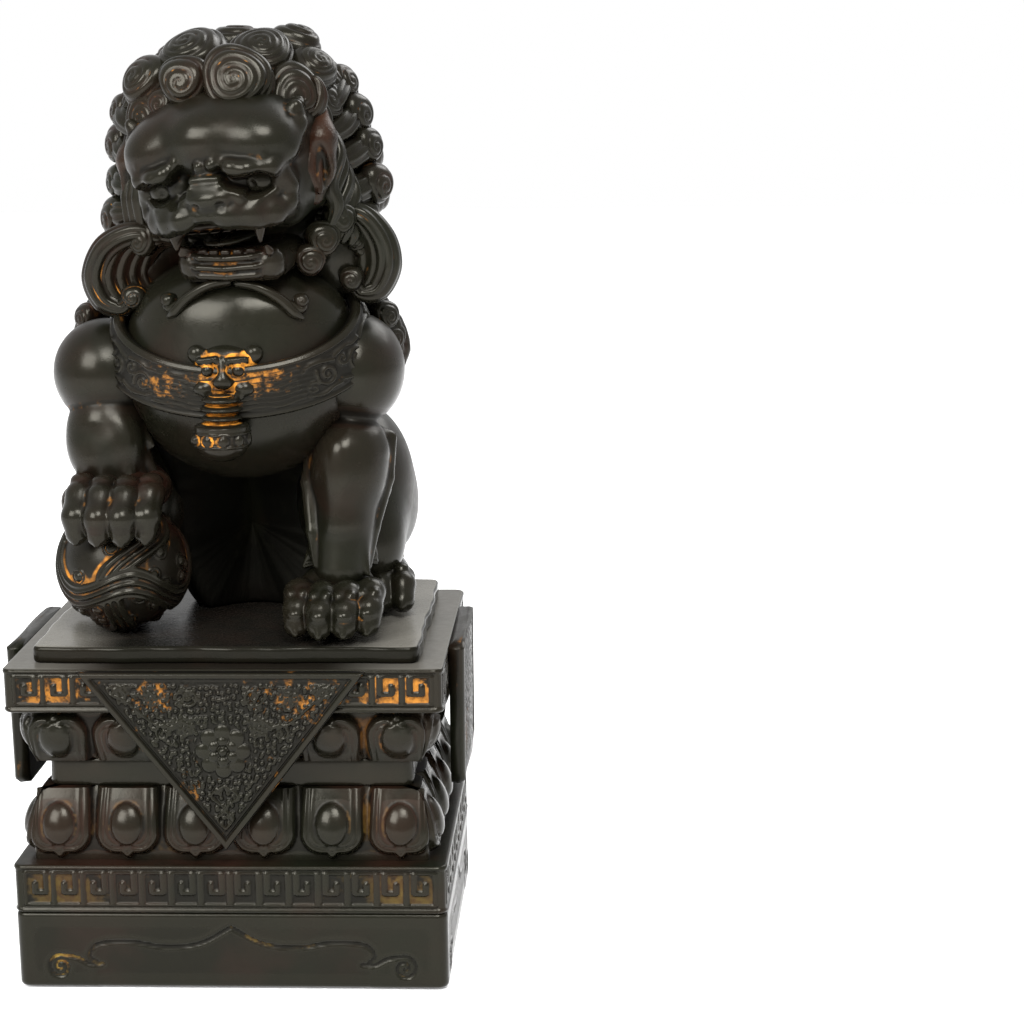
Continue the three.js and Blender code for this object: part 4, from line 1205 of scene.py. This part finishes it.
# each curl's place, radius, height, hand, turns and outward direction. The first three stand above
# the forehead, and a cord laps over each: its middle, radius, first angle and sweep
crownCurls = [((-8.5, -38, 340.5), 9.5, 8, 1, 2.6, (-0.1, -1, 0.25)),
              ((10, -40, 341), 12.5, 9, -1, 4.4, (0.05, -1, 0.35)),
              ((29.5, -33, 336), 10.5, 8, 1, 3.8, (0.45, -1, 0.2)),
              ((-6.5, -20, 346), 13.5, 13, -1, 4.2, (-0.3, -0.6, 1)),
              ((17, -23, 346.5), 12.5, 12.5, 1, 5.0, (0.15, -0.8, 1)),
              ((25.5, -7, 349), 10.5, 12, -1, 3.2, (0.4, -0.1, 1)),
              ((-22.5, -22, 339), 11, 11.5, 1, 3.6, (-0.7, -0.8, 0.6)),
              ((33, -18, 342), 9.5, 11, -1, 3.6, (0.6, -0.6, 0.8)),
              ((-24, -29, 329), 9, 6, -1, 3.4, (-0.55, -1, 0.15)),
              ((36, -4, 340), 11, 8, 1, 3.4, (1, -0.2, 0.7)),
              ((-29, -12, 335), 11, 7, 1, 3.2, (-1, -0.3, 0.5)), ((5, -2, 352), 12, 8, 1, 3.0, (0, 0, 1)),
              ((-14, -3, 348), 12, 8, -1, 3.0, (-0.5, 0, 1)),
              ((34.5, -25, 327.5), 8, 6, -1, 3.2, (0.8, -1, 0.2)),
              ((37, -15, 333), 8.5, 7, 1, 3.0, (1, -0.7, 0.4)),
              ((20, -41, 330.5), 5.5, 4, -1, 2.4, (0.2, -1, 0.1)),
              ((-17, -36, 333), 6, 4.5, 1, 2.4, (-0.4, -1, 0.2)),
              ((0.5, -40, 335), 5, 3.5, -1, 2.2, (0, -1, 0.2))]
crownCords = [((-8.5, -40, 340.5), 9.2, 20, -150), ((10, -43, 341), 12.4, 30, -170),
              ((29.5, -36, 336), 10.4, 40, -175)]


def buildCrown():
    # snail curls heaped over a cap, with two rings of them behind
    capAt = np.array([2.0, -4, 322])
    shells = [skinShell([egg(capAt, (35, 31, 27), 3)], capAt, capAt, 120, 90, 45)]
    for k, (place, r, h, hand, turns, out) in enumerate(crownCurls):
        shells.append(snailShell(place, out, r, h, hand, turns, spin=0.13 * k))
    for up, count, r in ((56, 4, 12), (26, 7, 11.5)):
        for k, d in evenRing(count, 200, up):
            shells.append(snailShell(capAt + d * (33, 29, 27), d, r, 8, 1 if k % 2 else -1, 3.2,
                                     spin=0.2 * k))
    way, thick = np.linspace(0, 1, 9), [0.8, 2.6, 3.4, 3.0, 0.8]
    for (x, y, z), r, start, sweep in crownCords:
        a = np.radians(start + sweep * way)
        path = np.stack([x + r * np.cos(a), y + 1.5 + 2.0 * way ** 2, z + r * np.sin(a) * 0.95], -1)
        shells.append(ropeShell(path, thick, thick, (0, -1, 0.2), 5, count=60, sides=40))
    addPiece("maneCrown", shells, rubbedResin)


# the locks at each side, from the face down: root, end and outward direction
sideLocks = {"left": [((34, -24, 326), (43, -2, 339), (1, -0.5, 0.4)),
                      ((36, -22, 318), (47.5, -3, 328), (1, -0.5, 0.1)),
                      ((37, -20, 308), (52, -4, 316), (1, -0.6, 0.1)),
                      ((37, -20, 297), (54.5, -4, 302), (1, -0.6, 0)),
                      ((37, -20, 288), (50, -6, 292), (0.8, -0.8, -0.2))],
             "right": [((-27, -26, 322), (-36, -10, 330), (-1, -0.6, 0.2)),
                       ((-29, -22, 313), (-38, -8, 318), (-1, -0.6, 0)),
                       ((-30, -20, 302), (-39.5, -7, 304), (-1, -0.6, 0)),
                       ((-31, -20, 292), (-41, -8, 290.5), (-1, -0.6, 0))]}


def buildSides():
    # locks that flow back from the face and roll up at the outline, with two rows of curls behind
    for name, s, mid in (("left", 1, 28), ("right", -1, -20)):
        shells = [skinShell([egg((mid, 4, 304), (22, 23, 44), 3),
                             egg((mid + s * 12, -4, 276), (13, 15, 20), 8)],
                            (mid, 4, 315), (mid + s * 4, 2, 284), 100, 120, 60)]
        for k, (a, b, out) in enumerate(sideLocks[name]):
            hand = s * (1 if k % 2 else -1)
            shells += hairLock(a, b, out, 5.4, 8, bow=3.0, hand=hand, roll=6.6 + (k % 2))
            for back, deep in ((13, 5), (25, 12)):
                place = np.array(b, float) + np.array([-s * deep * 0.6, back, -3])
                shells.append(snailShell(place, (s * 0.9, 0.1 + back * 0.035, 0.1), 9.5, 7, -hand, 3.0,
                                         spin=0.2 * k))
        if s > 0:      # the ringlets in front of the ear and beside the jaw
            shells += [snailShell((38, -27, 283), (0.4, -1, 0.1), 6.5, 5.5, 1, 2.6),
                       snailShell((33.5, -30, 275.5), (0.2, -1, 0), 5.8, 5, -1, 2.4),
                       snailShell((44, -22, 290), (0.6, -1, 0.1), 6.0, 5, -1, 2.6)]
            rng = np.random.default_rng(7)
            for k in range(6):
                off = rng.normal(0, 1.2, 4)
                path = [(41 + k * 1.6, -22 + k * 2.6, 324 - k * 5),
                        (44.5 + k * 1.5 + off[0], -25 + k * 3, 314 - k * 5),
                        (41 + k * 1.9 + off[1], -28 + k * 2.8, 303 - k * 4.5 + off[2]),
                        (43.5 + k * 1.7, -27 + k * 2.6, 294 - k * 3.5),
                        (39.5 + k * 2.2 + off[3], -27 + k * 2.4, 282 - k)]
                shells.append(ropeShell(path, [1.4, 3.0, 3.4, 2.8, 1.0], [1.4, 2.8, 3.2, 2.6, 1.0],
                                        (0.4, -1, 0), 5,
                                        twist=0.5 * (-1) ** k, count=50, sides=36))
        else:
            shells += [snailShell((-29, -26, 283), (-0.5, -1, 0), 6, 4.5, 1, 2.6)]
            for k in range(3):
                path = [(-28 - k * 2.4, -26 + k * 3, 312 - k), (-30 - k * 2.6, -27 + k * 3, 298),
                        (-29 - k * 3, -26 + k * 2.6, 284)]
                shells.append(ropeShell(path, [1.6, 2.8, 1.6], [1.6, 2.6, 1.6], (-0.3, -1, 0), 4, count=40,
                                        sides=30))
        addPiece(f"mane{name.capitalize()}", shells, rubbedResin)


def buildNape():
    # rows of curls that lap like scales over an egg, their hand changing along each row
    at, size = np.array([5.0, 22, 300]), np.array([40.0, 22, 44])
    shells = [skinShell([egg(at, size, 3)], at, at, 110, 100, 55)]
    for up, count in ((62, 4), (40, 5), (18, 6), (-4, 6), (-26, 6), (-48, 5)):
        for k, d in evenRing(count, 184, up):
            p = at + size * d * 0.95
            shells.append(snailShell(p, eggNormal(p, at, size), 10.6, 8.5, 1 if (k + count) % 2 else -1, 3.4,
                                     spin=0.17 * k + 0.1 * count, coil=0.13))
    addPiece("maneBack", shells, rubbedResin)


neckLocks = {"left": [(42, -17, 292), (52, -16, 290), (59, -14, 281), (60.5, -13, 271), (56.5, -13.5, 262.5),
                      (50.5, -15, 262), (48.5, -17, 267.5)],
             "right": [(-20, -27, 283), (-32, -25, 285), (-43.5, -22, 279.5), (-49, -19, 268.5),
                       (-46, -19.5, 259.5),
                       (-39, -21, 257), (-35, -23, 262)]}


def buildNeckLocks():
    # beside the neck: a bowed outer tress with its foot rolled in, over four inner tresses
    for name, s in (("left", 1), ("right", -1)):
        outer = np.array(neckLocks[name], float)
        shells = [ropeShell(outer, [3.6, 4.6, 5.2, 5.4, 4.8, 3.6, 2.4], [3.5, 5.6, 6.5, 6.5, 5.5, 4, 2.6],
                            (0, -1, 0.15), 8, twist=0.35, count=90, sides=64)]
        for step, w in ((4.8, 4.4), (9.2, 4.2), (13.6, 3.8), (17.6, 3.4)):
            inner = outer[:6] + np.array([-s, 0.25, 0]) * step + np.array([0, 0, -0.12 * step])
            inner = inner + np.array([0, 0, 1.0]) * np.linspace(0, 3.5, 6)[:, None] * (step / 10)
            shells.append(ropeShell(inner, w * np.array([0.7, 1, 1, 1, 0.9, 0.5]),
                                    w * np.array([1, 1.2, 1.3, 1.3, 1.0, 0.5]),
                                    (0, -1, 0.1), 5, twist=0.3, count=70, sides=44))
        shells.append(snailShell(outer[-1] + np.array([-s * 1.0, -1, -0.6]), (0, -1, 0.1), 4.6, 4.4, s, 2.0))
        addPiece(f"{name}NeckLock", shells, rubbedResin)


def buildShoulderLocks():
    # a twisted tress down each shoulder's back edge, with four curls in front of it
    for name, s in (("left", 1), ("right", -1)):
        shells = [ropeShell([(s * 52, 4, 258), (s * 57, 7, 246), (s * 59.5, 10, 236), (s * 58, 13, 223)],
                            [5, 7.5, 7.5, 3], [4.5, 7, 7, 3], (s, -0.4, 0), 7, twist=2.4, count=80, sides=50)]
        for k, (y, z, r) in enumerate(((1, 251, 5.6), (4, 242.5, 6.4), (6, 233.5, 6.4), (9, 225.5, 5.6))):
            x = s * (57.5 + (k in (1, 2)) * 1.5)
            shells.append(snailShell((x, y, z), (s * 0.8, -0.75, 0.1), r, 4.6, s * (-1) ** k, 3.0))
        addPiece(f"{name}ShoulderLock", shells, rubbedResin)


for job in (buildBall, buildLegs, buildBody, buildTail, buildCollar, buildBell, buildMask, buildHead,
            buildBeard,
            buildMouth, buildCrown, buildSides, buildNape, buildNeckLocks, buildShoulderLocks):
    job()
    print(job.__name__, "done")


def buildStage():
    # a white world, a pale floor and three soft lights aimed at the middle: place, size, watts
    world = bpy.data.worlds.new("studio")
    bpy.context.scene.world = world
    world.use_nodes = True
    world.node_tree.nodes["Background"].inputs["Color"].default_value = (1, 1, 1, 1)
    world.node_tree.nodes["Background"].inputs["Strength"].default_value = 1.0
    bpy.context.scene.view_settings.view_transform = "Standard"
    floor = bpy.data.meshes.new("floor")
    s = 4.0
    floor.from_pydata([(-s, -s, 0), (s, -s, 0), (s, s, 0), (-s, s, 0)], [], [(0, 1, 2, 3)])
    floorObject = bpy.data.objects.new("floor", floor)
    bpy.context.scene.collection.objects.link(floorObject)
    pale = Finish("paleFloor")
    pale.feed(Base_Color=(0.9, 0.9, 0.9, 1), Roughness=0.7, Emission_Color=(1, 1, 1, 1),
              Emission_Strength=0.12)
    floor.materials.append(pale.material)
    lights = {"keyLeft": ((-0.9, -1.5, 1.3), 1.0, 60), "keyTop": ((0.35, -1.3, 1.7), 0.8, 52),
              "rim": ((0.9, 1.1, 1.4), 1.0, 18)}
    for name, (place, size, power) in lights.items():
        lamp = bpy.data.lights.new(name, "AREA")
        lamp.size, lamp.energy = size, power
        lampObject = bpy.data.objects.new(name, lamp)
        bpy.context.scene.collection.objects.link(lampObject)
        lampObject.location = place
        aim = Vector((0, 0, 0.2)) - Vector(place)
        lampObject.rotation_euler = aim.to_track_quat("-Z", "Y").to_euler()


def buildCamera():
    # place in metres, angles in radians, lens in millimetres
    view = {"place": (0.1448, -0.8628, 0.3537), "heading": -0.045, "pitch": 0.206, "roll": -0.012,
            "lens": 79.3}
    camera = bpy.data.cameras.new("camera")
    camera.lens, camera.sensor_width = view["lens"], 36
    holder = bpy.data.objects.new("camera", camera)
    bpy.context.scene.collection.objects.link(holder)
    turn = Matrix.Rotation(-view["heading"], 4, "Z")
    turn = turn @ Matrix.Rotation(math.pi / 2 - view["pitch"], 4, "X") @ Matrix.Rotation(view["roll"], 4, "Z")
    holder.matrix_world = Matrix.Translation(view["place"]) @ turn
    bpy.context.scene.camera = holder


buildStage()
buildCamera()
